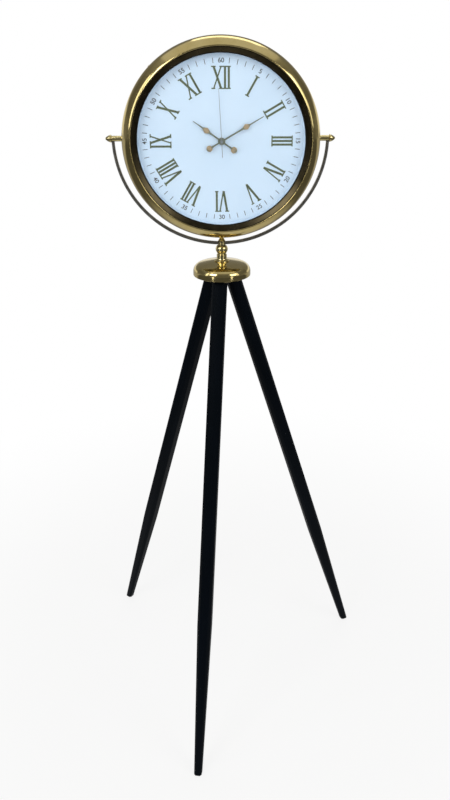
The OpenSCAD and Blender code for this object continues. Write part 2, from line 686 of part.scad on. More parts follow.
module serif(x, y, w) translate([x - w / 2, y > 0 ? y - serif_h : y]) square([w, serif_h]);

// A slanting stroke from the top at x_top to the foot at x_low.
module slant(x_top, x_low, w) polygon([
    [x_top - w / 2, numeral_h / 2], [x_top + w / 2, numeral_h / 2],
    [x_low + w / 2, -numeral_h / 2], [x_low - w / 2, -numeral_h / 2],
]);

module glyph(g, spread) {
    w = spread * glyph_width(g);
    if (g == "I") union() {
        square([stroke_w, numeral_h], center = true);
        serif(0, numeral_h / 2, w + 0.2);
        serif(0, -numeral_h / 2, w + 0.2);
    }
    if (g == "V") union() {
        slant(-0.35 * w, 0, 1.1 * stroke_w);
        slant(0.37 * w, 0.02 * w, thin_w);
        serif(-0.35 * w, numeral_h / 2, 0.4 * w);
        serif(0.37 * w, numeral_h / 2, 0.3 * w);
    }
    if (g == "X") union() {
        slant(-0.34 * w, 0.34 * w, 1.1 * stroke_w);
        slant(0.34 * w, -0.34 * w, thin_w);
        serif(-0.34 * w, numeral_h / 2, 0.4 * w);
        serif(0.36 * w, numeral_h / 2, 0.34 * w);
        serif(-0.36 * w, -numeral_h / 2, 0.34 * w);
        serif(0.34 * w, -numeral_h / 2, 0.4 * w);
    }
}

module numeral(glyphs, spread) linear_extrude(print_t) union()
    for (i = [0 : len(glyphs) - 1])
        translate([spread * (run_width(glyphs, i) + glyph_width(glyphs[i]) / 2 - run_width(glyphs, len(glyphs)) / 2), 0])
            glyph(glyphs[i], spread);

module hour_numerals() color(print_olive) on_drum() translate([0, 0, dial_z]) for (h = [0 : 11])
    rotate([0, 0, -30 * h]) translate([0, numeral_ring_r, 0]) numeral(numerals[h], numeral_spreads[h]);

module minute_ticks() color(print_olive) on_drum() translate([0, 0, dial_z]) for (m = [0 : 59]) if (m % 5 != 0)
    rotate([0, 0, -6 * m]) translate([-tick_w / 2, tick_ring_r - tick_l / 2, 0]) cube([tick_w, tick_l, print_t]);

cover_r = back_hole_r + cover_lap;
cover_screw_angles = [for (i = [0 : 2]) 90 + 120 * i];
cover_screw_r = 2;
module on_cover_screw(a) on_drum() rotate([0, 0, a]) translate([back_hole_r + cover_lap / 2, 0, plate_face_z]) children();

module back_cover() color(gold) difference() {
    on_drum() translate([0, 0, plate_face_z]) rotate_extrude($fn = 120) polygon([
        [0, -sheet_t - cover_dish], [back_hole_r - 12, -sheet_t - cover_dish], [back_hole_r - 6, -sheet_t],
        [cover_r, -sheet_t], [cover_r, 0], [back_hole_r - 6.6, 0], [back_hole_r - 12.6, -cover_dish], [0, -cover_dish],
    ]);
    for (a = cover_screw_angles) on_cover_screw(a) cylinder(r = cover_screw_r + seat_gap, h = 20, center = true);
}

module back_cover_screws() color(steel) for (a = cover_screw_angles) on_cover_screw(a) {
    translate([0, 0, -sheet_t]) cylinder(r = cover_screw_r, h = sheet_t + 5);
    translate([0, 0, -sheet_t - 5]) cylinder(r = 4.6, h = 5);
}

// Movement: a square box behind the dial, clamped by the nut on its bush.
module movement_outline(inset) {
    w = movement_w / 2 - inset;
    c = 2.4 - 0.6 * inset;
    polygon([[w, c - w], [w, w - c], [w - c, w], [c - w, w], [-w, w - c], [-w, c - w], [c - w, -w], [w - c, -w]]);
}

module pivot_hole(at, z, radius) translate([at[0], at[1], z]) cylinder(r = radius + running_gap, h = 2 * pivot_depth, center = true);

module movement_case() color(black_plastic) on_drum() difference() {
    union() {
        translate([0, 0, room_front]) linear_extrude(movement_t) movement_outline(0);
        difference() {
            translate([0, 0, room_back]) linear_extrude(room_front - room_back) movement_outline(0);
            translate([0, 0, room_back - 1]) linear_extrude(room_front - room_back + 2) movement_outline(movement_t);
        }
        translate([0, 0, room_front]) cylinder(r = bush_r, h = bush_end - room_front);
        for (p = plate_posts) translate([p[0], p[1], plate_z + plate_t]) cylinder(r = post_r, h = room_front - plate_z - plate_t);
        for (p = board_posts) translate([p[0], p[1], board_z + board_t]) cylinder(r = post_r, h = room_front - board_z - board_t);
    }
    translate([0, 0, room_front - 1]) cylinder(r = hour_pipe_r + running_gap, h = bush_end);
    pivot_hole(third_at, room_front, arbor_r);
    pivot_hole(motion_at, room_front, arbor_r);
}

module movement_cover() color(black_plastic) on_drum() difference() {
    translate([0, 0, room_back - movement_t]) linear_extrude(movement_t) movement_outline(0);
    translate([-wall_x + 1.5, battery_y - battery_r + 0.5, room_back - 2 * movement_t])
        cube([2 * wall_x - 3, 2 * battery_r - 1, 4 * movement_t]);
    translate([setting_at[0], setting_at[1], room_back - 2 * movement_t]) cylinder(r = setting_arbor_r + running_gap, h = 4 * movement_t);
    for (at = [[0, 0], third_at, inter_at, rotor_at]) pivot_hole(at, room_back, at == [0, 0] ? second_arbor_r : arbor_r);
}

module dial_cushion() color(black_plastic) on_drum() translate([0, 0, movement_z]) ring(9, bush_r + 0.2, cushion_t);

module bush_washer() color(hand_gold) on_drum() translate([0, 0, dial_z]) ring(1.7 * bush_r, bush_r + 0.1, bush_washer_t);

module bush_nut() color(hand_gold) on_drum() translate([0, 0, dial_z + bush_washer_t]) difference() {
    hex(2.75 * bush_r, bush_nut_t);
    translate([0, 0, -1]) cylinder(r = bush_r + seat_gap, h = bush_nut_t + 2);
}

module train_plate() color(steel) on_drum() translate([0, 0, plate_z]) difference() {
    translate([-9.5, -10.5, 0]) cube([29.5, 27.5, plate_t]);
    for (at = [[0, 0], third_at, inter_at, rotor_at]) translate([at[0], at[1], -1])
        cylinder(r = (at == [0, 0] ? second_arbor_r : arbor_r) + running_gap, h = plate_t + 2);
}

module stator() color(steel) on_drum() translate([0, 0, stator_z]) difference() {
    union() {
        translate([rotor_at[0] - 3.9, coil_low - 4, 0]) cube([coil_x - coil_r - rotor_at[0] + 3.3, coil_high - coil_low + 8, stator_t]);
        for (y = [coil_low - 4, coil_high + 0.4]) translate([rotor_at[0], y, 0]) cube([coil_x + 2 - rotor_at[0], 3.6, stator_t]);
    }
    translate([rotor_at[0], rotor_at[1], -1]) cylinder(r = 3.1, h = stator_t + 2);
}

module coil_bobbin() color(black_plastic) on_drum() translate([coil_x, 0, coil_z]) difference() {
    union() {
        translate([-1 - core_w / 2, coil_low + 0.2, -1 - coil_core_t / 2]) cube([core_w + 2, coil_high - coil_low - 0.4, coil_core_t + 2]);
        for (y = [coil_low + 0.2, coil_high - 1.2]) translate([-coil_r, y, -coil_r]) cube([2 * coil_r, 1, 2 * coil_r]);
    }
    translate([-core_w / 2 - seat_gap, coil_low - 5, -coil_core_t / 2 - seat_gap])
        cube([core_w + 2 * seat_gap, coil_high - coil_low + 10, coil_core_t + 2 * seat_gap]);
}

// Copper winding on the bobbin, with the iron core bar that bridges the stator's arms.
module coil_winding() color([0.72, 0.40, 0.20]) on_drum() translate([coil_x, 0, coil_z]) {
    difference() {
        translate([0, coil_low + 1.3, 0]) rotate([-90, 0, 0]) cylinder(r = coil_r - 0.3, h = coil_high - coil_low - 2.6);
        translate([-1.05 - core_w / 2, coil_low, -1.05 - coil_core_t / 2]) cube([core_w + 2.1, coil_high - coil_low, coil_core_t + 2.1]);
    }
    translate([-core_w / 2, coil_low - 3.4, -coil_core_t / 2]) cube([core_w, coil_high - coil_low + 6.8, coil_core_t]);
}

module circuit_board() color([0.12, 0.35, 0.2]) on_drum() translate([0, 0, board_z]) {
    translate([-25.5, 8.5, 0]) cube([12, 17, board_t]);
    translate([-19.5, 17, -1.4]) cylinder(r = 2.6, h = 1.4);
    translate([-24.5, 9.5, -1.2]) cube([3, 6, 1.2]);
}

module battery() color([0.3, 0.3, 0.32]) on_drum() translate([0, battery_y, battery_z]) rotate([0, 90, 0]) {
    translate([0, 0, -battery_l / 2 - 0.4]) cylinder(r = battery_r, h = battery_l);
    translate([0, 0, battery_l / 2 - 0.4]) cylinder(r = 2.7, h = 1.3);
}

module battery_contacts() color(steel) on_drum() for (side = [-1, 1]) translate([0, battery_y, battery_z]) rotate([0, 90 * side, 0]) {
    translate([-5, -4, wall_x - 0.4]) cube([10, 8, 0.4]);
    translate([0, 0, battery_l / 2 + (side > 0 ? 0.95 : 0.45)]) cylinder(r1 = 1.6, r2 = 3.2, h = wall_x - 0.4 - battery_l / 2 - (side > 0 ? 0.95 : 0.45));
}

// Hands: a spade swelling on a tapering stem, with a round counterweight on the tail.
module spade_hand(length, swell_at, swell_w, tail_at, tail_r, boss, bore, boss_h) difference() {
    union() {
        translate([0, 0, boss_h]) linear_extrude(hand_t) union() {
            polygon([[-1.4, 0], [-1.7, swell_at - 9], [-swell_w / 2, swell_at - 1], [-swell_w / 2 + 0.6, swell_at + 2],
                     [-1.4, swell_at + 8], [-0.5, length], [0.5, length], [1.4, swell_at + 8],
                     [swell_w / 2 - 0.6, swell_at + 2], [swell_w / 2, swell_at - 1], [1.7, swell_at - 9], [1.4, 0]]);
            polygon([[-1.5, 0], [-1.8, 6 - tail_at], [1.8, 6 - tail_at], [1.5, 0]]);
            polygon([[-1.6, 7 - tail_at], [-tail_r, -tail_at], [0, -tail_at - tail_r], [tail_r, -tail_at], [1.6, 7 - tail_at]]);
            translate([0, -tail_at]) circle(r = tail_r);
            circle(r = boss);
        }
        cylinder(r = 0.8 * boss, h = boss_h + 0.1);
    }
    translate([0, 0, -1]) cylinder(r = bore, h = boss_h + hand_t + 2);
}

module turned(angle) rotate([0, 0, -angle]) children();

module hour_hand() color(hand_gold) on_drum() turned(hour_angle) translate([0, 0, hour_back])
    spade_hand(hour_hand_l, 0.54 * hour_hand_l, 10.8, 30, 6.4, 7.4, hour_pipe_r + seat_gap, hour_front - hand_t - hour_back);

module minute_hand() color(hand_gold) on_drum() turned(minute_angle) translate([0, 0, minute_back])
    spade_hand(minute_hand_l, 0.59 * minute_hand_l, 10, 28, 6, 5.8, minute_pipe_r + seat_gap, minute_front - hand_t - minute_back);

module second_hand() color(hand_gold) on_drum() turned(second_angle) translate([0, 0, second_back]) difference() {
    union() {
        translate([0, 0, 0.4]) linear_extrude(second_t) union() {
            polygon([[-0.6, -second_tail_l], [-0.35, second_hand_l], [0.35, second_hand_l], [0.6, -second_tail_l]]);
            circle(r = 2);
        }
        cylinder(r = 1.4, h = 1.2);
    }
    translate([0, 0, -1]) cylinder(r = second_arbor_r + seat_gap, h = 1.8);
}

module wheel(teeth, gear_module, turn, h = wheel_t) linear_extrude(h) polygon(wheel_outline(teeth, gear_module, turn));
module arbor(low, high, radius = arbor_r) translate([0, 0, low]) cylinder(r = radius, h = high - low, $fn = 24);

// The half-tooth turns below bring a gap of the driven wheel to each driver's tooth.
module seconds_wheel() color(hand_gold) on_drum() {
    arbor(arbor_back, second_back + 0.7, second_arbor_r);
    translate([0, 0, third_layer]) wheel(seconds_pinion_n, third_module, third_dir);
    translate([0, 0, seconds_layer]) wheel(seconds_wheel_n, inter_module, inter_dir);
}

module third_wheel() color(hand_gold) on_drum() translate([third_at[0], third_at[1], 0]) {
    arbor(arbor_back, arbor_front);
    translate([0, 0, third_layer]) wheel(third_wheel_n, third_module, third_dir + 180 + 180 / third_wheel_n);
    translate([0, 0, minute_layer]) wheel(third_pinion_n, minute_module, third_dir + 180);
}

module intermediate_wheel() color(dial_white) on_drum() translate([inter_at[0], inter_at[1], 0]) {
    arbor(arbor_back, plate_pivot_z);
    translate([0, 0, seconds_layer]) wheel(inter_pinion_n, inter_module, inter_dir + 180 + 180 / inter_pinion_n);
    translate([0, 0, inter_layer]) wheel(inter_wheel_n, rotor_module, rotor_dir);
}

module rotor() color(dark_steel) on_drum() translate([rotor_at[0], rotor_at[1], 0]) {
    arbor(arbor_back, plate_pivot_z);
    translate([0, 0, inter_layer]) wheel(rotor_pinion_n, rotor_module, rotor_dir + 180 + 180 / rotor_pinion_n);
    translate([0, 0, magnet_z]) cylinder(r = 2.7, h = magnet_t);
    translate([0, 0, magnet_z + magnet_t - 0.1]) cylinder(r = 0.7, h = inter_layer - magnet_z - magnet_t + 0.2);
}

module minute_wheel() color(hand_gold) on_drum() difference() {
    union() {
        translate([0, 0, minute_layer]) wheel(minute_wheel_n, minute_module, third_dir + 180 / minute_wheel_n);
        translate([0, 0, minute_layer]) cylinder(r = 1, h = motion_layer - minute_layer + 0.1);
        translate([0, 0, motion_layer]) wheel(cannon_pinion_n, motion_module, motion_dir);
        translate([0, 0, motion_layer + wheel_t - 0.1]) cylinder(r = 1, h = 0.5);
        translate([0, 0, motion_layer + wheel_t + 0.3]) cylinder(r = minute_pipe_r, h = minute_front + 0.2 - motion_layer - wheel_t - 0.3);
    }
    translate([0, 0, minute_layer - 1]) cylinder(r = second_arbor_r + running_gap, h = minute_front - minute_layer + 3);
}

// The motion wheel turns on a stub in the front wall, because the minute wheel reaches across behind it.
module motion_wheel() color(dial_white) on_drum() translate([motion_at[0], motion_at[1], 0]) {
    arbor(motion_layer, arbor_front);
    translate([0, 0, motion_layer]) wheel(motion_wheel_n, motion_module, motion_dir + 180 + 180 / motion_wheel_n);
    translate([0, 0, hour_layer]) wheel(motion_pinion_n, hour_module, motion_dir + 180);
    translate([0, 0, motion_layer + wheel_t - 0.1]) cylinder(r = 0.8, h = hour_layer - motion_layer - wheel_t + 0.2);
}

module hour_wheel() color(dial_white) on_drum() difference() {
    union() {
        translate([0, 0, hour_layer]) wheel(hour_wheel_n, hour_module, motion_dir + 180 / hour_wheel_n);
        translate([0, 0, hour_layer]) cylinder(r = hour_pipe_r, h = hour_front + 0.2 - hour_layer);
    }
    translate([0, 0, hour_layer - 1]) cylinder(r = minute_pipe_r + running_gap, h = hour_front - hour_layer + 3);
}

// The setting wheel's teeth fit the motion wheel's, whose nearest tooth lies off the line of centres.
motion_tooth = motion_dir + 180 + 180 / motion_wheel_n;
motion_pitch = 360 / motion_wheel_n;
tooth_offset = (motion_tooth - setting_dir) - motion_pitch * round((motion_tooth - setting_dir) / motion_pitch);
setting_turn = setting_dir + 180 + 180 / setting_wheel_n - tooth_offset * motion_wheel_n / setting_wheel_n;

module setting_wheel() color(dial_white) on_drum() translate([setting_at[0], setting_at[1], 0]) {
    arbor(room_back - movement_t - 3, motion_layer + wheel_t, setting_arbor_r);
    translate([0, 0, motion_layer]) wheel(setting_wheel_n, setting_module, setting_turn);
    translate([0, 0, motion_layer + wheel_t - 0.1]) cylinder(r = 1, h = room_front - slide_gap - motion_layer - wheel_t + 0.1);
}

module setting_knob() color(black_plastic) on_drum() translate([setting_at[0], setting_at[1], room_back - movement_t - slide_gap - 4]) difference() {
    cylinder(r = 5, h = 4, $fn = 48);
    for (a = [0 : 30 : 330]) rotate([0, 0, a]) translate([5.4, 0, -1]) cylinder(r = 0.8, h = 6, $fn = 16);
    translate([0, 0, 4 - 2.9]) cylinder(r = setting_arbor_r + seat_gap, h = 4);
}

leg_front();
leg_right();
leg_left();
foot_glides();
leg_studs();
hub_cap();
hub_block();
spindle();
spindle_washer();
spindle_nut();
swivel_washers();
finial_nut();
yoke();
yoke_saddle();
left_pivot_sleeve();
right_pivot_sleeve();
left_clamp_knob();
right_clamp_knob();
pivot_washers();
pivot_nuts();
drum_case();
dial_seat_ring();
front_bezel();
bezel_screws();
reveal_ring();
lens_gasket();
glass_lens();
dial_flange();
dial_plate();
hour_numerals();
minute_ticks();
back_plate();
back_plate_screws();
back_cover();
back_cover_screws();
movement_case();
movement_cover();
dial_cushion();
bush_washer();
bush_nut();
train_plate();
stator();
coil_bobbin();
coil_winding();
circuit_board();
battery();
battery_contacts();
second_hand();
seconds_wheel();
third_wheel();
intermediate_wheel();
rotor();
minute_hand();
minute_wheel();
motion_wheel();
hour_hand();
hour_wheel();
setting_wheel();
setting_knob();
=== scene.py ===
"""Looks of the tripod floor clock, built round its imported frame. Sizes are in millimetres
until a piece is placed; the scene itself is in metres."""

from math import acos, asin, atan2, cos, degrees, pi, radians, sin, sqrt, tan

import bmesh
import bpy
from mathutils import Matrix, Vector


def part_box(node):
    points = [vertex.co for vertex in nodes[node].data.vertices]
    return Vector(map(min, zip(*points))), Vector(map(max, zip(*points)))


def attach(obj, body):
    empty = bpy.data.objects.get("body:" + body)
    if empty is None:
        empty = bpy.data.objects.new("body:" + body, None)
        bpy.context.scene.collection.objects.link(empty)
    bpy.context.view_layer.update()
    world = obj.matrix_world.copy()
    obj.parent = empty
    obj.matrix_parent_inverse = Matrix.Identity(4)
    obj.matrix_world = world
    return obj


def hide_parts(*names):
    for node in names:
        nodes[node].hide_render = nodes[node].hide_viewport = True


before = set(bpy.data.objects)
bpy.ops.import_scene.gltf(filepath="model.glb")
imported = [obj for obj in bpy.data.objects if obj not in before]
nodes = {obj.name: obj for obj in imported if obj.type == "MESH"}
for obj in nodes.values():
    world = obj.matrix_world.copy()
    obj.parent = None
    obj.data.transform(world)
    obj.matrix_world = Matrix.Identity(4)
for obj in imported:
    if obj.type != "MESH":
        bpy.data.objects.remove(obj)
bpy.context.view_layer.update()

MM = 0.001


# ---------------------------------------------------------------- places
def middle(node):
    low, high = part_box(node)
    return (low + high) / (2 * MM)


def lowest(node, axis=2):
    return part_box(node)[0][axis] / MM


def highest(node, axis=2):
    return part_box(node)[1][axis] / MM


STAND_X, STAND_Y = middle("hub_block")[0], middle("hub_block")[1]
PIVOT_Z = middle("glass_lens")[2]
HUB_Z = lowest("hub_cap")
CAP_TOP = highest("hub_cap") - HUB_Z
SEAT_Z = lowest("hub_block")
STRAP_Z = lowest("yoke")
FINIAL_Z = lowest("finial_nut")

AS_MADE = Matrix.Identity(4)
STAND = Matrix.Translation((STAND_X, STAND_Y, 0))
PIVOT = Matrix.Translation((STAND_X, STAND_Y, PIVOT_Z))
DRUM = PIVOT @ Matrix.Rotation(pi / 2, 4, "X")


def on_stand(height):
    return STAND @ Matrix.Translation((0, 0, height))


def pivot_axis(side):
    """Frame whose z runs outwards along the drum's pivot axis; side is -1 left, 1 right."""
    return PIVOT @ Matrix.Rotation(side * pi / 2, 4, "Y")


def round_z(angle, *place):
    """A place in a frame that is turned about z by an angle in degrees."""
    return Matrix.Rotation(radians(angle), 4, "Z") @ Matrix.Translation(place or (0, 0, 0))


# ---------------------------------------------------------------- colours and nodes
def srgb(hex_code):
    def linear(c):
        return c / 12.92 if c <= 0.04045 else ((c + 0.055) / 1.055) ** 2.4
    return tuple(linear(int(hex_code[i:i + 2], 16) / 255) for i in (1, 3, 5)) + (1.0,)


def feed(tree, node, inputs):
    """Sets or links a node's inputs. An input is a value, a socket, or a node, whose first
    output is linked."""
    for key, value in inputs.items():
        value = value.outputs[0] if isinstance(value, bpy.types.Node) else value
        if isinstance(value, bpy.types.NodeSocket):
            tree.links.new(value, node.inputs[key])
        else:
            node.inputs[key].default_value = value


def add(tree, kind, inputs=None, stops=(), **settings):
    """Adds a node with its settings and links; stops are a ramp's (position, colour) pairs."""
    node = tree.nodes.new(kind)
    for key, value in settings.items():
        setattr(node, key, value)
    while stops and len(node.color_ramp.elements) < len(stops):
        node.color_ramp.elements.new(0.5)
    for place, (position, colour) in enumerate(stops):
        node.color_ramp.elements[place].position = position
        node.color_ramp.elements[place].color = colour
    feed(tree, node, inputs or {})
    return node


def tones(dark, light):
    """Stops of a mottled colour that runs between two close tones."""
    return (0.35, srgb(dark)), (0.65, srgb(light))


def between(value, low, high):
    return {"Value": value, "To Min": low, "To Max": high}


def fade(value, start, end, at_start, at_end):
    return {"Value": value, "From Min": start, "From Max": end, "To Min": at_start, "To Max": at_end}


def material(name):
    """A new material's tree, its shader and the piece's own coordinates."""
    made = bpy.data.materials.new(name)
    made.use_nodes = True
    tree = made.node_tree
    return made, tree, tree.nodes["Principled BSDF"], add(tree, "ShaderNodeTexCoord").outputs["Object"]


# Scales are features per metre: 33 is one in 30 mm, 500 one in 2 mm.
def buffed_brass(name, dark, light, rough_low, rough_high):
    """Brass-plated sheet, buffed and lacquered: clear reflections, a faint haze from handling in
    patches of 30 mm, and buffing scratches drawn 2 mm wide so that they show."""
    made, tree, shader, place = material(name)
    haze = add(tree, "ShaderNodeTexNoise", {"Vector": place, "Scale": 33.0, "Detail": 5.0, "Roughness": 0.6})
    buffing = add(tree, "ShaderNodeMapping", {"Vector": place, "Scale": (500.0, 500.0, 60.0)})
    scratch = add(tree, "ShaderNodeTexNoise", {"Vector": buffing, "Scale": 1.0, "Detail": 3.0})
    feed(tree, shader, {
        "Base Color": add(tree, "ShaderNodeValToRGB", {"Fac": haze}, stops=tones(dark, light)),
        "Metallic": 1.0,
        "Roughness": add(tree, "ShaderNodeMapRange", between(haze, rough_low, rough_high)),
        "Normal": add(tree, "ShaderNodeBump", {"Height": scratch, "Strength": 0.015, "Distance": 0.0002})})
    return made


def turned_brass(name, ring_scale):
    """Solid brass turned on a lathe, then buffed and lacquered: the tool's rings run round the
    piece, drawn 1 mm apart so that they show, and stretch each reflection along the piece."""
    made, tree, shader, place = material(name)
    haze = add(tree, "ShaderNodeTexNoise", {"Vector": place, "Scale": 60.0, "Detail": 4.0})
    lathe = add(tree, "ShaderNodeMapping", {"Vector": place, "Scale": ring_scale})
    rings = add(tree, "ShaderNodeTexNoise", {"Vector": lathe, "Scale": 1.0, "Detail": 2.0})
    feed(tree, shader, {
        "Base Color": add(tree, "ShaderNodeValToRGB", {"Fac": haze}, stops=tones("#DFCD90", "#EBDCA4")),
        "Metallic": 1.0,
        "Roughness": add(tree, "ShaderNodeMapRange", between(haze, 0.14, 0.22)),
        "Normal": add(tree, "ShaderNodeBump", {"Height": rings, "Strength": 0.14, "Distance": 0.0003})})
    return made


def lacquered_beech():
    """Beech planed to a chamfered square, stained and sprayed with black lacquer: near black
    with a cool sheen, and open grain lines 1 mm wide along the leg just felt."""
    made, tree, shader, _ = material("black_lacquered_beech")
    place = add(tree, "ShaderNodeAttribute", attribute_name="leg_place").outputs["Vector"]
    lines = add(tree, "ShaderNodeMapping", {"Vector": place, "Scale": (900.0, 900.0, 14.0)})
    grain = add(tree, "ShaderNodeTexNoise", {"Vector": lines, "Scale": 1.0, "Detail": 5.0, "Roughness": 0.6})
    patches = add(tree, "ShaderNodeMapping", {"Vector": place, "Scale": (20.0, 20.0, 5.0)})
    cloud = add(tree, "ShaderNodeTexNoise", {"Vector": patches, "Scale": 1.0, "Detail": 4.0})
    feed(tree, shader, {
        "Base Color": add(tree, "ShaderNodeValToRGB", {"Fac": cloud}, stops=tones("#03080E", "#050B13")),
        "Roughness": add(tree, "ShaderNodeMapRange", between(grain, 0.36, 0.48)),
        "Normal": add(tree, "ShaderNodeBump", {"Height": grain, "Strength": 0.25, "Distance": 0.0003}),
        "IOR": 1.45, "Specular IOR Level": 0.07})
    return made


def stamped_hands():
    """Sheet brass stamped and plated grey-olive; the worn swellings and tails show pinkish
    brass. Each is speckled at 1.4 mm."""
    made, tree, shader, place = material("stamped_brass_hands")
    worn = add(tree, "ShaderNodeAttribute", attribute_name="worn").outputs["Fac"]
    speck = add(tree, "ShaderNodeTexNoise", {"Vector": place, "Scale": 700.0, "Detail": 3.0})
    plated = add(tree, "ShaderNodeValToRGB", {"Fac": speck}, stops=tones("#5A6152", "#6B7260"))
    bare = add(tree, "ShaderNodeValToRGB", {"Fac": speck}, stops=tones("#A08C6C", "#B39C7A"))
    tone = add(tree, "ShaderNodeMix", {0: worn, 6: plated, 7: bare}, data_type="RGBA").outputs[2]
    feed(tree, shader, {"Base Color": tone, "Metallic": 0.6,
                        "Roughness": add(tree, "ShaderNodeMapRange", between(speck, 0.34, 0.44))})
    return made


def blackened_strap():
    """Flat steel strap rolled to a half ring, blackened and waxed: grey with rolling streaks
    1.5 mm wide and a soft edge gloss."""
    made, tree, shader, place = material("blackened_steel_strap")
    rolling = add(tree, "ShaderNodeMapping", {"Vector": place, "Scale": (40.0, 700.0, 40.0)})
    streak = add(tree, "ShaderNodeTexNoise", {"Vector": rolling, "Scale": 1.0, "Detail": 4.0})
    cloud = add(tree, "ShaderNodeTexNoise", {"Vector": place, "Scale": 60.0, "Detail": 4.0})
    feed(tree, shader, {
        "Base Color": add(tree, "ShaderNodeValToRGB", {"Fac": cloud}, stops=tones("#7E7C78", "#98968F")),
        "Metallic": 0.85,
        "Roughness": add(tree, "ShaderNodeMapRange", between(streak, 0.34, 0.5)),
        "Normal": add(tree, "ShaderNodeBump", {"Height": streak, "Strength": 0.08, "Distance": 0.0002})})
    return made


def printed_dial():
    """Aluminium dial sprayed in a cool white: even and matt, with orange peel of 1.5 mm."""
    made, tree, shader, place = material("sprayed_aluminium_dial")
    peel = add(tree, "ShaderNodeTexNoise", {"Vector": place, "Scale": 650.0, "Detail": 2.0})
    cloud = add(tree, "ShaderNodeTexNoise", {"Vector": place, "Scale": 9.0, "Detail": 2.0})
    feed(tree, shader, {
        "Base Color": add(tree, "ShaderNodeValToRGB", {"Fac": cloud}, stops=tones("#CBDFF3", "#D0E3F6")),
        "Roughness": 0.55,
        "Normal": add(tree, "ShaderNodeBump", {"Height": peel, "Strength": 0.04, "Distance": 0.0001})})
    return made


def dial_ink(name, dark, light, metal, rough):
    """Foil-gold or grey ink, pad printed: slightly raised, with a speckle of 0.8 mm."""
    made, tree, shader, place = material(name)
    speck = add(tree, "ShaderNodeTexNoise", {"Vector": place, "Scale": 1200.0, "Detail": 3.0})
    feed(tree, shader, {
        "Base Color": add(tree, "ShaderNodeValToRGB", {"Fac": speck}, stops=tones(dark, light)),
        "Metallic": metal, "Roughness": rough})
    return made


def moulded(name, dark, light, rough, grain_mm=0.6, ior=1.46):
    """Moulded plastic or rubber with the fine spark grain of its mould."""
    made, tree, shader, place = material(name)
    grain = add(tree, "ShaderNodeTexNoise", {"Vector": place, "Scale": 1000.0 / grain_mm, "Detail": 2.0})
    cloud = add(tree, "ShaderNodeTexNoise", {"Vector": place, "Scale": 45.0, "Detail": 4.0})
    feed(tree, shader, {
        "Base Color": add(tree, "ShaderNodeValToRGB", {"Fac": cloud}, stops=tones(dark, light)),
        "Roughness": rough, "IOR": ior,
        "Normal": add(tree, "ShaderNodeBump", {"Height": grain, "Strength": 0.12, "Distance": 0.0001})})
    return made


def worked_metal(name, dark, light, rough_low, rough_high, patch_mm=4.0, bump=0.05):
    """Bare or plated steel, iron or copper: mottled reflections in patches of a few millimetres."""
    made, tree, shader, place = material(name)
    patch = add(tree, "ShaderNodeTexNoise",
                {"Vector": place, "Scale": 1000.0 / patch_mm, "Detail": 4.0, "Roughness": 0.6})
    feed(tree, shader, {
        "Base Color": add(tree, "ShaderNodeValToRGB", {"Fac": patch}, stops=tones(dark, light)),
        "Metallic": 1.0,
        "Roughness": add(tree, "ShaderNodeMapRange", between(patch, rough_low, rough_high)),
        "Normal": add(tree, "ShaderNodeBump", {"Height": patch, "Strength": bump, "Distance": 0.0002})})
    return made


def powder_coat():
    """Steel sheet with a black powder coat: matt, with a texture of 1.2 mm beads."""
    made, tree, shader, place = material("black_powder_coated_steel")
    beads = add(tree, "ShaderNodeTexNoise", {"Vector": place, "Scale": 800.0, "Detail": 3.0, "Roughness": 0.6})
    feed(tree, shader, {
        "Base Color": add(tree, "ShaderNodeValToRGB", {"Fac": beads}, stops=tones("#141416", "#1F1F22")),
        "Roughness": add(tree, "ShaderNodeMapRange", between(beads, 0.5, 0.68)),
        "Normal": add(tree, "ShaderNodeBump", {"Height": beads, "Strength": 0.35, "Distance": 0.0002})})
    return made


def float_glass():
    """Float glass 2.5 mm thick: clear, with a faint green edge. Lamps shine straight through it."""
    made, tree, shader, place = material("clear_float_glass")
    smear = add(tree, "ShaderNodeTexNoise", {"Vector": place, "Scale": 12.0, "Detail": 4.0})
    feed(tree, shader, {
        "Base Color": srgb("#FBFCFC"), "Transmission Weight": 1.0, "IOR": 1.5,
        "Roughness": add(tree, "ShaderNodeMapRange", between(smear, 0.0, 0.03))})
    clear = add(tree, "ShaderNodeBsdfTransparent", {"Color": srgb("#FAFCFB")})
    shadow = add(tree, "ShaderNodeLightPath").outputs["Is Shadow Ray"]
    feed(tree, tree.nodes["Material Output"],
         {"Surface": add(tree, "ShaderNodeMixShader", {0: shadow, 1: shader, 2: clear})})
    return made


BRASS = buffed_brass("buffed_brass_plate", "#CCB87A", "#D8C58A", 0.09, 0.16)
# The reveal ring is brass like the bezel; its near-black tones are painted dark reflection, standing for the
# dark room seen in its gold.
RING_PAINTED_DARK_REFLECTION = buffed_brass("brass_ring_painted_dark_reflection", "#383222", "#4A4230", 0.2, 0.32)
TURNED_BRASS = turned_brass("turned_brass_upright", (25.0, 25.0, 1000.0))
TURNED_BRASS_ACROSS = turned_brass("turned_brass_across", (1000.0, 25.0, 25.0))
HAND_BRASS = stamped_hands()
WOOD = lacquered_beech()
STRAP = blackened_strap()
DIAL = printed_dial()
GOLD_INK = dial_ink("foil_gold_numeral_print", "#3C4A30", "#56603A", 0.25, 0.42)
GREY_INK = dial_ink("grey_minute_print", "#33383E", "#43484F", 0.0, 0.5)
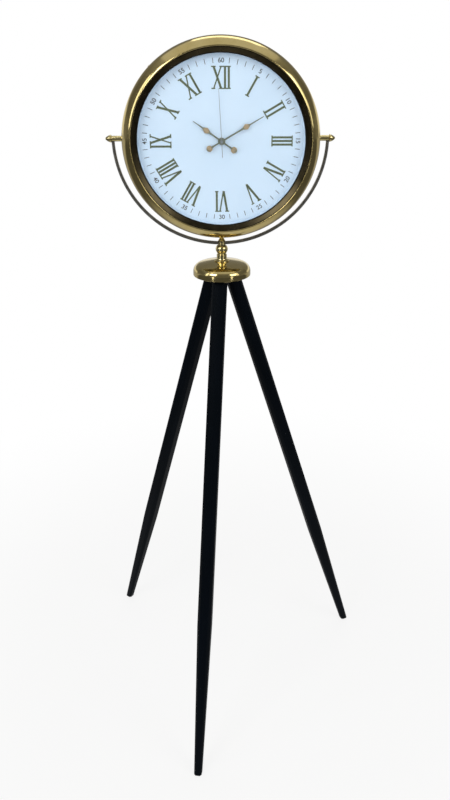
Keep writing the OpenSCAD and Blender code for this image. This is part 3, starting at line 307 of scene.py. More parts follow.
# The sloped flange is a real ring, but its tone, darker than the dial's, is painted shade of the recess under
# the lip.
FLANGE_PAINTED_SHADE = moulded("dial_flange_painted_shade", "#B9CDE2", "#C6D9EC", 0.5)
RUBBER = moulded("black_nitrile_rubber", "#0B0B0C", "#161617", 0.7, 0.8)
BLACK_ABS = moulded("black_moulded_abs", "#121214", "#1B1B1E", 0.48)
WHITE_ACETAL = moulded("white_moulded_acetal", "#DADAD2", "#E6E6DF", 0.42)
BATTERY_FILM = moulded("printed_battery_film", "#23262B", "#2C3036", 0.3)
BOARD = moulded("green_solder_mask", "#14532F", "#1D6B3D", 0.35)
ZINC = worked_metal("zinc_plated_steel", "#8E9094", "#B4B6BA", 0.25, 0.4)
IRON = worked_metal("painted_cast_iron", "#2A2B2D", "#3A3B3E", 0.5, 0.7, 2.5, 0.2)
COPPER = worked_metal("enamelled_copper_wire", "#A2592C", "#C77B42", 0.22, 0.35, 0.6)
GEAR_BRASS = worked_metal("stamped_gear_brass", "#B8994F", "#D0B265", 0.22, 0.34)
MAGNET = worked_metal("sintered_magnet", "#3B3C40", "#55565A", 0.4, 0.55)
NEEDLE_STEEL = worked_metal("satin_steel_needle", "#7E848C", "#969CA4", 0.3, 0.42)
POWDER = powder_coat()
GLASS = float_glass()


# ---------------------------------------------------------------- mesh tools
def arc(centre_r, centre_z, radius, start, end, steps):
    """Points (r, z) of an arc, angles in degrees."""
    turns = [radians(start + (end - start) * i / steps) for i in range(steps + 1)]
    return [(centre_r + radius * cos(turn), centre_z + radius * sin(turn)) for turn in turns]


def eased(points, steps=4):
    """Rounds the corners of a path: each point is (r, z) or (r, z, radius)."""
    path = []
    for i, point in enumerate(points):
        here = Vector(point[:2])
        radius = point[2] if len(point) > 2 else 0
        if not radius:
            path.append(tuple(here))
            continue
        before = Vector(points[i - 1][:2]) - here
        after = Vector(points[(i + 1) % len(points)][:2]) - here
        half = before.angle(after) / 2
        reach = radius / tan(half)
        centre = here + (before.normalized() + after.normalized()).normalized() * (radius / sin(half))
        start = here + before.normalized() * reach - centre
        end = here + after.normalized() * reach - centre
        turn = atan2(start.cross(end), start.dot(end))
        for k in range(steps + 1):
            path.append(tuple(centre + Matrix.Rotation(turn * k / steps, 2) @ start))
    return path


def close_up(bm):
    bmesh.ops.holes_fill(bm, edges=[e for e in bm.edges if e.is_boundary], sides=0)


def turned(profile, steps=96, closed=True, angle=2 * pi, start=0.0):
    """A bmesh spun from a profile of (r, z) points about the z axis."""
    bm = bmesh.new()
    ring = [bm.verts.new((r, 0, z)) for r, z in profile]
    edges = [bm.edges.new(pair) for pair in zip(ring, ring[1:])]
    if closed:
        edges.append(bm.edges.new((ring[-1], ring[0])))
    bmesh.ops.rotate(bm, verts=ring, cent=(0, 0, 0), matrix=Matrix.Rotation(start, 3, "Z"))
    full = abs(angle - 2 * pi) < 1e-6
    bmesh.ops.spin(bm, geom=ring + edges, cent=(0, 0, 0), axis=(0, 0, 1), dvec=(0, 0, 0),
                   angle=angle, steps=steps, use_merge=full, use_duplicate=False)
    bmesh.ops.remove_doubles(bm, verts=bm.verts, dist=1e-4)
    if not full:
        close_up(bm)
    bmesh.ops.recalc_face_normals(bm, faces=bm.faces)
    return bm


def sliced(bm, point, normal, clear=False):
    """Cuts the whole bmesh with a plane, and drops what lies past it if clear."""
    bmesh.ops.bisect_plane(bm, geom=bm.verts[:] + bm.edges[:] + bm.faces[:], plane_co=point,
                           plane_no=normal, clear_outer=clear)


def bevelled(bm, edges, offset, segments, kind="OFFSET", clamp=False):
    bmesh.ops.bevel(bm, geom=edges, offset=offset, offset_type=kind, affect="EDGES", segments=segments,
                    profile=0.5, material=-1, clamp_overlap=clamp)


def pulled(bm, faces, height, keep=False):
    """Extrudes faces as one region and moves it along z."""
    grown = bmesh.ops.extrude_face_region(bm, geom=faces, use_keep_orig=keep)
    bmesh.ops.translate(bm, vec=(0, 0, height),
                        verts=[v for v in grown["geom"] if isinstance(v, bmesh.types.BMVert)])


def joined(*parts):
    """One bmesh from several (bmesh, matrix) pairs; the parts are used up."""
    whole = bmesh.new()
    for part, place in parts:
        part.transform(place)
        mesh = bpy.data.meshes.new("part")
        part.to_mesh(mesh)
        part.free()
        whole.from_mesh(mesh)
        bpy.data.meshes.remove(mesh)
    return whole


def piece(name, bm, place, body, slot, finish, *replaced, sharp=32.0):
    """Places a bmesh made in millimetres and lets it ride on its body."""
    bm.transform(Matrix.Scale(MM, 4) @ place)
    mesh = bpy.data.meshes.new(name)
    bm.to_mesh(mesh)
    bm.free()
    mesh.shade_smooth()
    mesh.set_sharp_from_angle(angle=radians(sharp))
    mesh.materials.append(finish)
    made = bpy.data.objects.new(name, mesh)
    bpy.context.scene.collection.objects.link(made)
    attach(made, body)
    if replaced:
        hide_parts(*replaced)
    return made


# ---------------------------------------------------------------- legs
LEG_W, LEG_TIP_W, LEG_CHAMFER, LEG_TAPER = 31.0, 17.0, 6.5, 345.0
LEG_EDGE, TIP_ROUND, TIP_LIFT = 0.9, 4.2, 7.5
LEG_FOOT_R, LEG_TOP_R, GLIDE_H = 362.0, 22.5, 2.5
SPARE_FOOT, SPARE_TOP = 12.0, 30.0      # a leg is made too long, leant, then cut level at both ends
GRAIN_STEP = 3.0                        # moves each leg's grain, so that no two are alike
TRIPOD_TURN = -11.0
LEG_AZIMUTHS = {"leg_front": TRIPOD_TURN - 90, "leg_right": TRIPOD_TURN + 30, "leg_left": TRIPOD_TURN + 150}


def make_leg(name, azimuth):
    """A chamfered square that tapers to a rounded tip."""
    lean = atan2(LEG_FOOT_R - LEG_TOP_R, HUB_Z)
    length = (SEAT_Z + SPARE_TOP) / cos(lean)
    bm = bmesh.new()

    def lengthwise():
        return [e for e in bm.edges if abs(e.verts[0].co.z - e.verts[1].co.z) > 50]

    bmesh.ops.create_cube(bm, size=1.0)
    bmesh.ops.scale(bm, vec=(LEG_W, LEG_W, length + SPARE_FOOT), verts=bm.verts)
    bmesh.ops.translate(bm, vec=(0, 0, (length - SPARE_FOOT) / 2), verts=bm.verts)
    sliced(bm, (0, 0, LEG_TAPER), (0, 0, 1))
    tip = [v for v in bm.verts if v.co.z < 0]
    bmesh.ops.scale(bm, vec=(LEG_TIP_W / LEG_W, LEG_TIP_W / LEG_W, 1), verts=tip)
    bevelled(bm, lengthwise(), 100 * LEG_CHAMFER / LEG_W, 1, kind="PERCENT")
    sole = [e for e in bm.edges if max(v.co.z for v in e.verts) < 0.1 - SPARE_FOOT]
    bmesh.ops.translate(bm, vec=(0, 0, TIP_LIFT), verts=list({v for e in sole for v in e.verts}))
    bevelled(bm, sole, TIP_ROUND, 5)
    corners = [e for e in lengthwise() if len(e.link_faces) == 2 and e.calc_face_angle() > radians(20)]
    bevelled(bm, corners, LEG_EDGE, 3)
    place_layer = bm.verts.layers.float_vector.new("leg_place")
    for v in bm.verts:
        v[place_layer] = (v.co + Vector((azimuth * GRAIN_STEP, 0, 0))) * MM
    bm.transform(STAND @ round_z(azimuth, LEG_FOOT_R, 0, 0) @ Matrix.Rotation(-lean, 4, "Y"))
    for height, outwards in ((GLIDE_H, -1), (SEAT_Z, 1)):
        sliced(bm, (0, 0, height), (0, 0, outwards), clear=True)
        close_up(bm)
    bmesh.ops.recalc_face_normals(bm, faces=bm.faces)
    piece(name + "_lacquered", bm, AS_MADE, "stand", "black_lacquered_wood", WOOD, name, sharp=40)


for leg, leg_azimuth in LEG_AZIMUTHS.items():
    make_leg(leg, leg_azimuth)


# ---------------------------------------------------------------- hub and spindle
CAP_R, CAP_WALL, CAP_T, CAP_BORE = 62.5, 8.0, 1.5, 4.3
SHOULDER, SLOPE, FLAT_R = 17.0, 15.0, 18.0


def cap_path(inset):
    """Shoulder and crown of the hub cap, from its wall to the flat under the spindle."""
    crown = (CAP_R - SHOULDER + SHOULDER * sin(radians(SLOPE))) / sin(radians(SLOPE))
    crown_z = CAP_WALL + SHOULDER * cos(radians(SLOPE)) - crown * cos(radians(SLOPE))
    return (arc(CAP_R - SHOULDER, CAP_WALL, SHOULDER - inset, 0, 90 - SLOPE, 20)
            + arc(0, crown_z, crown - inset, 90 - SLOPE, 90 - degrees(asin(FLAT_R / crown)), 12)[1:])


cap = turned(
    [(CAP_R - 0.5, 0), (CAP_R, 0.5)] + cap_path(0) + [(CAP_BORE, CAP_TOP), (CAP_BORE, CAP_TOP - CAP_T)]
    + cap_path(CAP_T)[::-1] + [(CAP_R - CAP_T, 0.3), (CAP_R - CAP_T + 0.3, 0)], 160)
piece("hub_cap_spun", cap, on_stand(HUB_Z), "stand", "antique_brass", BRASS, "hub_cap")

SPINDLE_Z = HUB_Z + CAP_TOP
SPINDLE_H, FLANGE_R, FLANGE_H, COLUMN_R, BALL_R, BALL_H = 34.5, 16.0, 2.4, 11.0, 13.2, 15.5
STUD_R, TIP_STUD_R = 4, 3               # the studs below and above the spindle
NECK_R, NECK_Z = 0.93 * COLUMN_R, SPINDLE_H - BALL_H
COVE = FLANGE_R - COLUMN_R
bulge = (BALL_R - NECK_R + BALL_H ** 2 / 4 / (BALL_R - NECK_R)) / 2
swing = degrees(asin(BALL_H / 2 / bulge))
stud_low = lowest("spindle") - SPINDLE_Z
stud_high = highest("spindle") - SPINDLE_Z
spindle = turned(
    [(0, stud_low), (STUD_R - 0.4, stud_low), (STUD_R, stud_low + 0.4), (STUD_R, 0), (FLANGE_R - 0.6, 0)]
    + eased([(FLANGE_R - 0.6, 0), (FLANGE_R, 0, 0.55), (FLANGE_R, FLANGE_H, 0.55),
             (FLANGE_R - 0.7, FLANGE_H)])[1:-1]
    + arc(FLANGE_R - 0.6, FLANGE_H + COVE, COVE - 0.6, -90, -180, 14)
    + eased([(COLUMN_R, NECK_Z - 8), (COLUMN_R, NECK_Z - 4.4, 0.6), (NECK_R - 0.9, NECK_Z - 3.0, 0.5),
             (NECK_R - 0.9, NECK_Z - 1.8, 0.5), (NECK_R, NECK_Z - 0.6)])[1:]
    + arc(BALL_R - bulge, NECK_Z + BALL_H / 2, bulge, -swing, swing, 18)
    + [(TIP_STUD_R, SPINDLE_H), (TIP_STUD_R, stud_high - 0.4), (TIP_STUD_R - 0.4, stud_high), (0, stud_high)],
    96, closed=False)
piece("spindle_turned", spindle, on_stand(SPINDLE_Z), "stand", "antique_brass", TURNED_BRASS, "spindle")

FINIAL_H, FINIAL_R = 10.5, 7.7
FINIAL_POINT = ((0.86, 0.27), (0.78, 0.40), (0.64, 0.56), (0.48, 0.70), (0.34, 0.82), (0.24, 0.91),
                (0.13, 0.975), (0, 1))
finial = turned(
    [(0, 0)]
    + eased([(FINIAL_R - 1, 0), (FINIAL_R, 0, 0.4), (FINIAL_R, 1.6, 0.4), (FINIAL_R - 0.9, 2.1)])[:-1]
    + [(FINIAL_R * r, FINIAL_H * h) for r, h in FINIAL_POINT], 64, closed=False)
piece("finial_turned", finial, on_stand(FINIAL_Z), "stand", "antique_brass", TURNED_BRASS, "finial_nut")


# ---------------------------------------------------------------- yoke and pivots
YOKE_T, YOKE_W, YOKE_EDGE = 5.5, 10.0, 1.0
YOKE_R = PIVOT_Z - STRAP_Z - YOKE_T / 2
END_LIFT = asin(4.6 / YOKE_R)           # the strap ends below the sleeves' axis

strap_section = eased([(YOKE_R + out * YOKE_T / 2, side * YOKE_W / 2, YOKE_EDGE)
                       for out, side in ((-1, -1), (1, -1), (1, 1), (-1, 1))], 3)
strap = turned(strap_section, 128, angle=pi - 2 * END_LIFT, start=pi + END_LIFT)
piece("yoke_strap", strap, DRUM, "yoke", "gunmetal_strap", STRAP, "yoke")

SADDLE_R, SADDLE_BORE, SADDLE_T, SADDLE_EDGE = 8.3, 3.06, STRAP_Z - lowest("yoke_saddle"), 0.35
saddle = bmesh.new()
for radius in (SADDLE_R, SADDLE_BORE):
    bmesh.ops.create_circle(saddle, segments=64, radius=radius)
bmesh.ops.bridge_loops(saddle, edges=saddle.edges[:])
for side in (-1, 1):
    sliced(saddle, (0, side * (YOKE_W / 2 + 0.03), 0), (0, 1, 0))
for rise, reach in ((SADDLE_T, 0), (YOKE_T, YOKE_W / 2)):      # first the disc, then its two cheeks
    lifted = [f for f in saddle.faces if abs(f.calc_center_median().y) >= reach
              and f.calc_center_median().z > (0.1 if reach else -0.1) and abs(f.normal.z) > 0.9]
    pulled(saddle, lifted, rise, keep=not reach)
    saddle.normal_update()
bmesh.ops.recalc_face_normals(saddle, faces=saddle.faces)
outer_edges = [e for e in saddle.edges if len(e.link_faces) == 2 and e.calc_face_angle() > radians(50)
               and max(abs(v.co.x) + abs(v.co.y) for v in e.verts) > 6]
bevelled(saddle, outer_edges, SADDLE_EDGE, 2, clamp=True)
piece("yoke_saddle_milled", saddle, on_stand(STRAP_Z - SADDLE_T), "yoke", "antique_brass", TURNED_BRASS,
      "yoke_saddle")

SLEEVE_R, SHANK_R, KNOB_R, KNOB_H = 5.75, 3.0, 7.8, 12.4
SLEEVE_BORE = SHANK_R + 0.06
KNOB_DOME = ((0.86, 0.38), (0.74, 0.54), (0.58, 0.70), (0.42, 0.84), (0.28, 0.94), (0.12, 0.99), (0, 1))
SLEEVE_IN = highest("pivot_washers", 0) - STAND_X + 0.3
SLEEVE_OUT = highest("right_pivot_sleeve", 0) - STAND_X
KNOB_X = SLEEVE_OUT + 0.3
KNOB_IN = lowest("right_clamp_knob", 0) - STAND_X
for side, which in ((-1, "left"), (1, "right")):
    sleeve = turned(eased([
        (SLEEVE_BORE, SLEEVE_IN), (SLEEVE_R, SLEEVE_IN, 0.6), (SLEEVE_R, SLEEVE_IN + 2.2),
        (SLEEVE_R - 0.5, SLEEVE_IN + 2.6), (SLEEVE_R - 0.5, SLEEVE_IN + 3.4), (SLEEVE_R, SLEEVE_IN + 3.8),
        (SLEEVE_R, SLEEVE_OUT, 0.6), (SLEEVE_BORE, SLEEVE_OUT)]), 64)
    piece(which + "_sleeve_turned", sleeve, pivot_axis(side), "yoke", "antique_brass", TURNED_BRASS_ACROSS,
          which + "_pivot_sleeve")
    knob = turned(
        [(0, KNOB_IN), (SHANK_R - 0.4, KNOB_IN), (SHANK_R, KNOB_IN + 0.4), (SHANK_R, KNOB_X)]
        + eased([(SHANK_R + 0.2, KNOB_X), (KNOB_R, KNOB_X, 0.7), (KNOB_R, KNOB_X + 1.9, 0.5),
                 (KNOB_R - 0.9, KNOB_X + 2.5)])[:-1]
        + [(KNOB_R - 0.8, KNOB_X + 2.7), (KNOB_R - 0.62, KNOB_X + 3.2)]
        + [(KNOB_R * r, KNOB_X + KNOB_H * h) for r, h in KNOB_DOME], 64, closed=False)
    piece(which + "_knob_turned", knob, pivot_axis(side), which + "_knob", "antique_brass",
          TURNED_BRASS_ACROSS, which + "_clamp_knob")


# ---------------------------------------------------------------- drum
DRUM_R, SHEET, SKIRT_Z, CREST_Z, ROLL, BEZEL_W, BEAD = 200.0, 1.5, 10.0, 65.0, 34.0, 19.0, 1.6
REVEAL_W, RING_WALL, GAP = 11.8, 1.2, 0.3
SLOPE_H, LENS_T, GASKET_T = 9.7, 2.5, 0.6
ROLL_R = DRUM_R - ROLL
CREST_R = DRUM_R - BEZEL_W
LIP_R = CREST_R - REVEAL_W
ROLL_Z = CREST_Z - sqrt(ROLL ** 2 - (CREST_R - ROLL_R) ** 2)
DIAL_Z = STAND_Y - lowest("dial_plate", 1)
CASE_R = DRUM_R - SHEET - GAP
BACK_Z = 45.0

crest_turn = degrees(acos((CREST_R - ROLL_R) / (ROLL - BEAD)))
bead_z = ROLL_Z + (ROLL - BEAD) * sin(radians(crest_turn))
BEZEL_IN = CREST_R - BEAD
bezel = turned(
    [(DRUM_R - SHEET, SKIRT_Z + 0.2), (DRUM_R - SHEET + 0.2, SKIRT_Z), (DRUM_R - 0.4, SKIRT_Z),
     (DRUM_R, SKIRT_Z + 0.4)]
    + arc(ROLL_R, ROLL_Z, ROLL, 0, crest_turn, 40) + arc(CREST_R, bead_z, BEAD, crest_turn, 180, 10)[1:]
    + [(BEZEL_IN, CREST_Z - 7), (BEZEL_IN + SHEET, CREST_Z - 7), (BEZEL_IN + SHEET, bead_z - 0.6)]
    + arc(ROLL_R, ROLL_Z, ROLL - SHEET, crest_turn - 1, 0, 24), 256)
piece("bezel_spun", bezel, DRUM, "drum", "antique_brass", BRASS, "front_bezel")

LIP_Z = DIAL_Z + SLOPE_H + LENS_T + GASKET_T
RING_R = BEZEL_IN - GAP
PACKET_R = RING_R - RING_WALL - GAP
# Reveal ring: its dark colour is painted dark reflection, not a bronze finish.
ring = turned(eased([
    (LIP_R, LIP_Z), (PACKET_R + GAP, LIP_Z), (PACKET_R + GAP, DIAL_Z - 1), (RING_R, DIAL_Z - 1),
    (RING_R, CREST_Z - 0.8, 0.3), (RING_R - 0.8, CREST_Z - 0.8, 0.3), (LIP_R + 0.6, LIP_Z + 1.3, 0.4),
    (LIP_R, LIP_Z + 0.8, 0.3)]), 256)
piece("reveal_ring_spun", ring, DRUM, "drum", "dark_bronze_ring", RING_PAINTED_DARK_REFLECTION, "reveal_ring")

# Dial flange: a real slope whose darker grey-blue colour is painted shade.
slope = turned(eased([
    (LIP_R - 4.0, DIAL_Z), (PACKET_R, DIAL_Z), (PACKET_R, DIAL_Z + SLOPE_H), (LIP_R + 0.5, DIAL_Z + SLOPE_H),
    (LIP_R + 0.5, DIAL_Z + SLOPE_H - 1, 2.0)]), 256)
piece("dial_slope_ring", slope, DRUM, "drum", "pale_flange_plastic", FLANGE_PAINTED_SHADE, "dial_flange")

CORNER = 14.0
FLANGE_IN = CASE_R - CORNER - 12.0
band = turned(
    [(CASE_R, ROLL_Z)] + arc(CASE_R - CORNER, CORNER - BACK_Z, CORNER, 0, -90, 18)
    + [(FLANGE_IN, -BACK_Z), (FLANGE_IN, SHEET - BACK_Z)]
    + arc(CASE_R - CORNER, CORNER - BACK_Z, CORNER - SHEET, -90, 0, 12) + [(CASE_R - SHEET, ROLL_Z)], 256)
piece("case_band_spun", band, DRUM, "drum", "antique_brass", BRASS, "drum_case")

PLATE_FACE = -BACK_Z - 1.2
PLATE_R, HOLE_R, COVER_R, DISH = CASE_R - CORNER - 2, 70.0, 82.0, 2.5
plate = turned(eased([(HOLE_R, PLATE_FACE), (PLATE_R, PLATE_FACE, 0.5), (PLATE_R, -BACK_Z),
                      (HOLE_R, -BACK_Z)]), 192)
piece("back_plate_pressed", plate, DRUM, "drum", "black_powder_coat", POWDER, "back_plate")
cover = turned(
    eased([(0, -SHEET - DISH), (HOLE_R - 12, -SHEET - DISH, 3.0), (HOLE_R - 6, -SHEET, 3.0),
           (COVER_R, -SHEET, 0.5), (COVER_R, 0, 0.3), (HOLE_R - 6.6, 0, 2.0), (HOLE_R - 12.6, -DISH, 2.0),
           (0, -DISH)], 5), 160, closed=False)
piece("back_cover_pressed", cover, DRUM @ Matrix.Translation((0, 0, PLATE_FACE)), "drum", "antique_brass",
      BRASS, "back_cover")


# ---------------------------------------------------------------- screws
HEAD_R, HEAD_DOME, SCREW_L = 3.0, 1.05, 5
SLOT_W, SLOT_REACH, SLOT_DEPTH = 0.7, 0.72 * HEAD_R, 0.5
THUMB_R, THUMB_H, KNURLS = 4.6, 5, 24
UNDER_HEAD = 0.05
SIDEWAYS = Matrix.Rotation(pi / 2, 4, "Y")
BACKWARDS = Matrix.Rotation(pi, 4, "X")


def slotted_screw():
    """Domed screw head on its shank, with a slot sunk into it."""
    shank = HEAD_R * 0.5
    head = turned(
        eased([(0, HEAD_DOME + 0.05), (HEAD_R * 0.55, HEAD_DOME * 0.86), (HEAD_R * 0.9, HEAD_DOME * 0.42),
               (HEAD_R, 0, 0.1), (shank, 0)], 3) + [(shank, -SCREW_L), (0, -SCREW_L)], 40, closed=False)
    for normal, reach in (((1, 0, 0), SLOT_W / 2), ((0, 1, 0), SLOT_REACH)):
        for side in (-1, 1):
            sliced(head, Vector(normal) * reach * side, normal)
    strip = [f for f in head.faces if f.normal.z > 0.3 and abs(f.calc_center_median().x) < SLOT_W / 2
             and abs(f.calc_center_median().y) < SLOT_REACH and f.calc_center_median().z > 0]
    pulled(head, strip, -SLOT_DEPTH)
    bmesh.ops.delete(head, geom=strip, context="FACES")
    bmesh.ops.recalc_face_normals(head, faces=head.faces)
    return head


def knurled_screw():
    """Thumb screw with a knurled rim, for the back cover."""
    bm = bmesh.new()
    bmesh.ops.create_cone(bm, cap_ends=True, segments=2 * KNURLS, radius1=THUMB_R, radius2=THUMB_R,
                          depth=THUMB_H)
    for v in bm.verts:
        if round(atan2(v.co.y, v.co.x) / (pi / KNURLS)) % 2:
            v.co.xy *= 0.93
    for thickness, depth in ((0.7, 0.5), (1.0, -0.35)):        # an eased rim, then a shallow dish
        ends = [f for f in bm.faces if len(f.verts) > 8]
        bmesh.ops.inset_region(bm, faces=ends, thickness=thickness, depth=depth)
    return bm


bezel_screws = [(slotted_screw(), round_z(turn, DRUM_R + UNDER_HEAD, 0, SKIRT_Z + 8) @ SIDEWAYS)
                for turn in (45, 135, 225, 315)]
plate_screws = [(slotted_screw(), round_z(turn, FLANGE_IN + 4, 0, PLATE_FACE - UNDER_HEAD) @ BACKWARDS)
                for turn in range(0, 360, 60)]
cover_screws = [(knurled_screw(), round_z(turn, HOLE_R + 6, 0, PLATE_FACE - SHEET - THUMB_H / 2))
                for turn in (90, 210, 330)]
piece("bezel_screw_heads", joined(*bezel_screws), DRUM, "drum", "antique_brass", BRASS, "bezel_screws")
piece("plate_screw_heads", joined(*plate_screws), DRUM, "drum", "zinc_steel", ZINC, "back_plate_screws")
piece("cover_thumb_screws", joined(*cover_screws), DRUM, "drum", "antique_brass", BRASS, "back_cover_screws",
      sharp=20)


# ---------------------------------------------------------------- dial
FIGURES_R, FIGURE_H, FIGURE_BOLD, PRINT_T = LIP_R - 15.6, 12.4, 0.2, 0.12


def figures():
    """Minute figures 5 to 60 in a plain sans, on the ring of the minute ticks. 20 to 40 are
    turned to be read upright."""
    parts = []
    for count in range(1, 13):
        text = bpy.data.curves.new("figure", "FONT")
        text.body = str(5 * count)
        text.size, text.align_x, text.align_y = FIGURE_H, "CENTER", "CENTER"
        text.extrude, text.offset = PRINT_T, FIGURE_BOLD
        shown = bpy.data.objects.new("figure", text)
        bpy.context.scene.collection.objects.link(shown)
        bpy.context.view_layer.update()
        mesh = bpy.data.meshes.new_from_object(shown.evaluated_get(bpy.context.evaluated_depsgraph_get()))
        bm = bmesh.new()
        bm.from_mesh(mesh)
        middle_x, middle_y = ((max(v.co[axis] for v in bm.verts) + min(v.co[axis] for v in bm.verts)) / 2
                              for axis in (0, 1))
        bmesh.ops.translate(bm, vec=(-middle_x, -middle_y, 0), verts=bm.verts)
        bpy.data.objects.remove(shown)
        bpy.data.curves.remove(text)
        bpy.data.meshes.remove(mesh)
        upright = round_z(180 if 4 <= count <= 8 else 0)
        parts.append((bm, round_z(-30 * count, 0, FIGURES_R, DIAL_Z + PRINT_T) @ upright))
    return joined(*parts)


piece("minute_figures", figures(), DRUM, "drum", "dial_print", GREY_INK, sharp=60)


# ---------------------------------------------------------------- hands
HAND_T, NEEDLE_T = 0.6, 0.4
WORN_FROM, WORN_OVER = 2.4, 1.6         # half widths past which the plating is worn off
BLADE_STEPS = 6


def hand_outline(stations, thickness, edge=0.14):
    """A flat hand from (distance, half width) stations, smoothed, with eased edges."""
    smooth = []
    for (y0, w0), (y1, w1) in zip(stations, stations[1:]):
        for k in range(BLADE_STEPS):
            t = k / BLADE_STEPS
            smooth.append((y0 + (y1 - y0) * t, w0 + (w1 - w0) * (3 * t * t - 2 * t ** 3)))
    smooth.append(stations[-1])
    bm = bmesh.new()
    worn = bm.verts.layers.float.new("worn")
    rim = [bm.verts.new((w, y, 0)) for y, w in smooth] + [bm.verts.new((-w, y, 0)) for y, w in smooth[::-1]]
    for v in rim:
        v[worn] = min(1.0, max(0.0, (abs(v.co.x) - WORN_FROM) / WORN_OVER))
    pulled(bm, [bm.faces.new(rim)], thickness)
    bmesh.ops.recalc_face_normals(bm, faces=bm.faces)
    top = [e for e in bm.edges if all(abs(v.co.z - thickness) < 1e-6 for v in e.verts)]
    bevelled(bm, top, edge, 2, clamp=True)
    return bm


def spade_stations(length, swell, swell_w, tail, tail_w):
    """Stations of a spade hand: teardrop tail, stem, collar, leaf-shaped swelling, fine point."""
    return [(-tail - tail_w * 1.05, 0.3), (-tail - tail_w * 0.85, tail_w * 0.56),
            (-tail - tail_w * 0.3, tail_w), (-tail + tail_w * 0.4, tail_w * 0.9),
            (-tail + tail_w * 1.1, 1.6), (-tail + tail_w * 1.35, 2.2), (-tail + tail_w * 1.6, 1.5),
            (-4, 1.5), (0, 1.6), (4, 1.6),
            (swell - swell_w * 2.1, 1.45), (swell - swell_w * 1.8, 2.3), (swell - swell_w * 1.5, 1.5),
            (swell - swell_w * 0.85, swell_w * 0.66), (swell, swell_w),
            (swell + swell_w * 0.8, swell_w * 0.6), (swell + swell_w * 1.5, 1.25),
            (length * 0.97, 0.75), (length, 0.45)]


def hand(name, node, body, finish, angle, blade, blade_back, hub_r, hub_front, bore):
    """Sets a blade on its hub. The blade's back lies behind the node's front face by blade_back,
    and the hub stands proud of that face by hub_front."""
    back = STAND_Y - highest(node, 1)
    front = STAND_Y - lowest(node, 1)
    seat, crown = front - blade_back, front + hub_front
    hub = turned(eased([
        (bore, back), (hub_r * 0.8, back), (hub_r * 0.8, seat), (hub_r, seat, 0.1), (hub_r, crown, 0.25),
        (hub_r * 0.72, crown, 0.2), (hub_r * 0.66, crown - 0.15), (bore, crown - 0.15)]), 48)
    whole = joined((blade, Matrix.Translation((0, 0, seat))), (hub, AS_MADE))
    piece(name, whole, DRUM @ round_z(-angle), body, "antique_brass_hands", finish, node, sharp=40)


# The photographed time: half a second before ten past ten.
HOUR, MINUTE, SECOND = 10, 10 - 0.5 / 60, -0.5
hand("hour_hand_stamped", "hour_hand", "hour", HAND_BRASS, 30 * (HOUR + MINUTE / 60),
     hand_outline(spade_stations(69, 0.54 * 69, 6.0, 30, 6.6), HAND_T), HAND_T, 7.4, 0.1, 2.53)
hand("minute_hand_stamped", "minute_hand", "minute", HAND_BRASS, 6 * MINUTE,
     hand_outline(spade_stations(97, 0.59 * 97, 5.8, 28, 6.3), HAND_T), HAND_T, 5.8, 0.1, 1.68)
hand("second_hand_needle", "second_hand", "seconds", NEEDLE_STEEL, 6 * SECOND,
     hand_outline([(-32, 0.75), (-10, 0.6), (0, 0.6), (60, 0.5), (101, 0.35), (102, 0.2)], NEEDLE_T, 0.08),
     0.5, 2.6, 0.5, 0.48)


# ---------------------------------------------------------------- finishes of the CAD nodes that stay
KEPT = {
    "foot_glides": BLACK_ABS, "leg_studs": ZINC, "hub_block": IRON, "spindle_washer": ZINC,
    "spindle_nut": ZINC, "swivel_washers": BLACK_ABS, "pivot_washers": BLACK_ABS, "pivot_nuts": ZINC,
    "dial_seat_ring": ZINC, "lens_gasket": RUBBER, "glass_lens": GLASS, "dial_plate": DIAL,
    "hour_numerals": GOLD_INK, "minute_ticks": GREY_INK, "movement_case": BLACK_ABS,
    "movement_cover": BLACK_ABS, "dial_cushion": RUBBER, "bush_washer": GEAR_BRASS, "bush_nut": GEAR_BRASS,
    "train_plate": ZINC, "stator": ZINC, "coil_bobbin": BLACK_ABS, "coil_winding": COPPER,
    "circuit_board": BOARD, "battery": BATTERY_FILM, "battery_contacts": ZINC, "seconds_wheel": GEAR_BRASS,
    "third_wheel": GEAR_BRASS, "intermediate_wheel": WHITE_ACETAL, "rotor": MAGNET,
    "minute_wheel": GEAR_BRASS, "motion_wheel": WHITE_ACETAL, "hour_wheel": WHITE_ACETAL,
    "setting_wheel": WHITE_ACETAL, "setting_knob": BLACK_ABS,
}
for name, finish in KEPT.items():
    nodes[name].data.materials.clear()
    nodes[name].data.materials.append(finish)


# ---------------------------------------------------------------- studio
def brightness_seen(tree, lit, camera_value, mirror_value):
    """Picks what each kind of ray gets: lit for diffuse light, camera_value for the camera and
    through glass, mirror_value for reflections. Values are numbers, sockets or nodes."""
    rays = add(tree, "ShaderNodeLightPath").outputs
    mirror = add(tree, "ShaderNodeMix", {0: rays["Is Glossy Ray"], 2: lit, 3: mirror_value})
    direct = add(tree, "ShaderNodeMath", {0: rays["Is Camera Ray"], 1: rays["Is Transmission Ray"]},
                 operation="MAXIMUM")
    return add(tree, "ShaderNodeMix", {0: direct, 2: mirror, 3: camera_value})


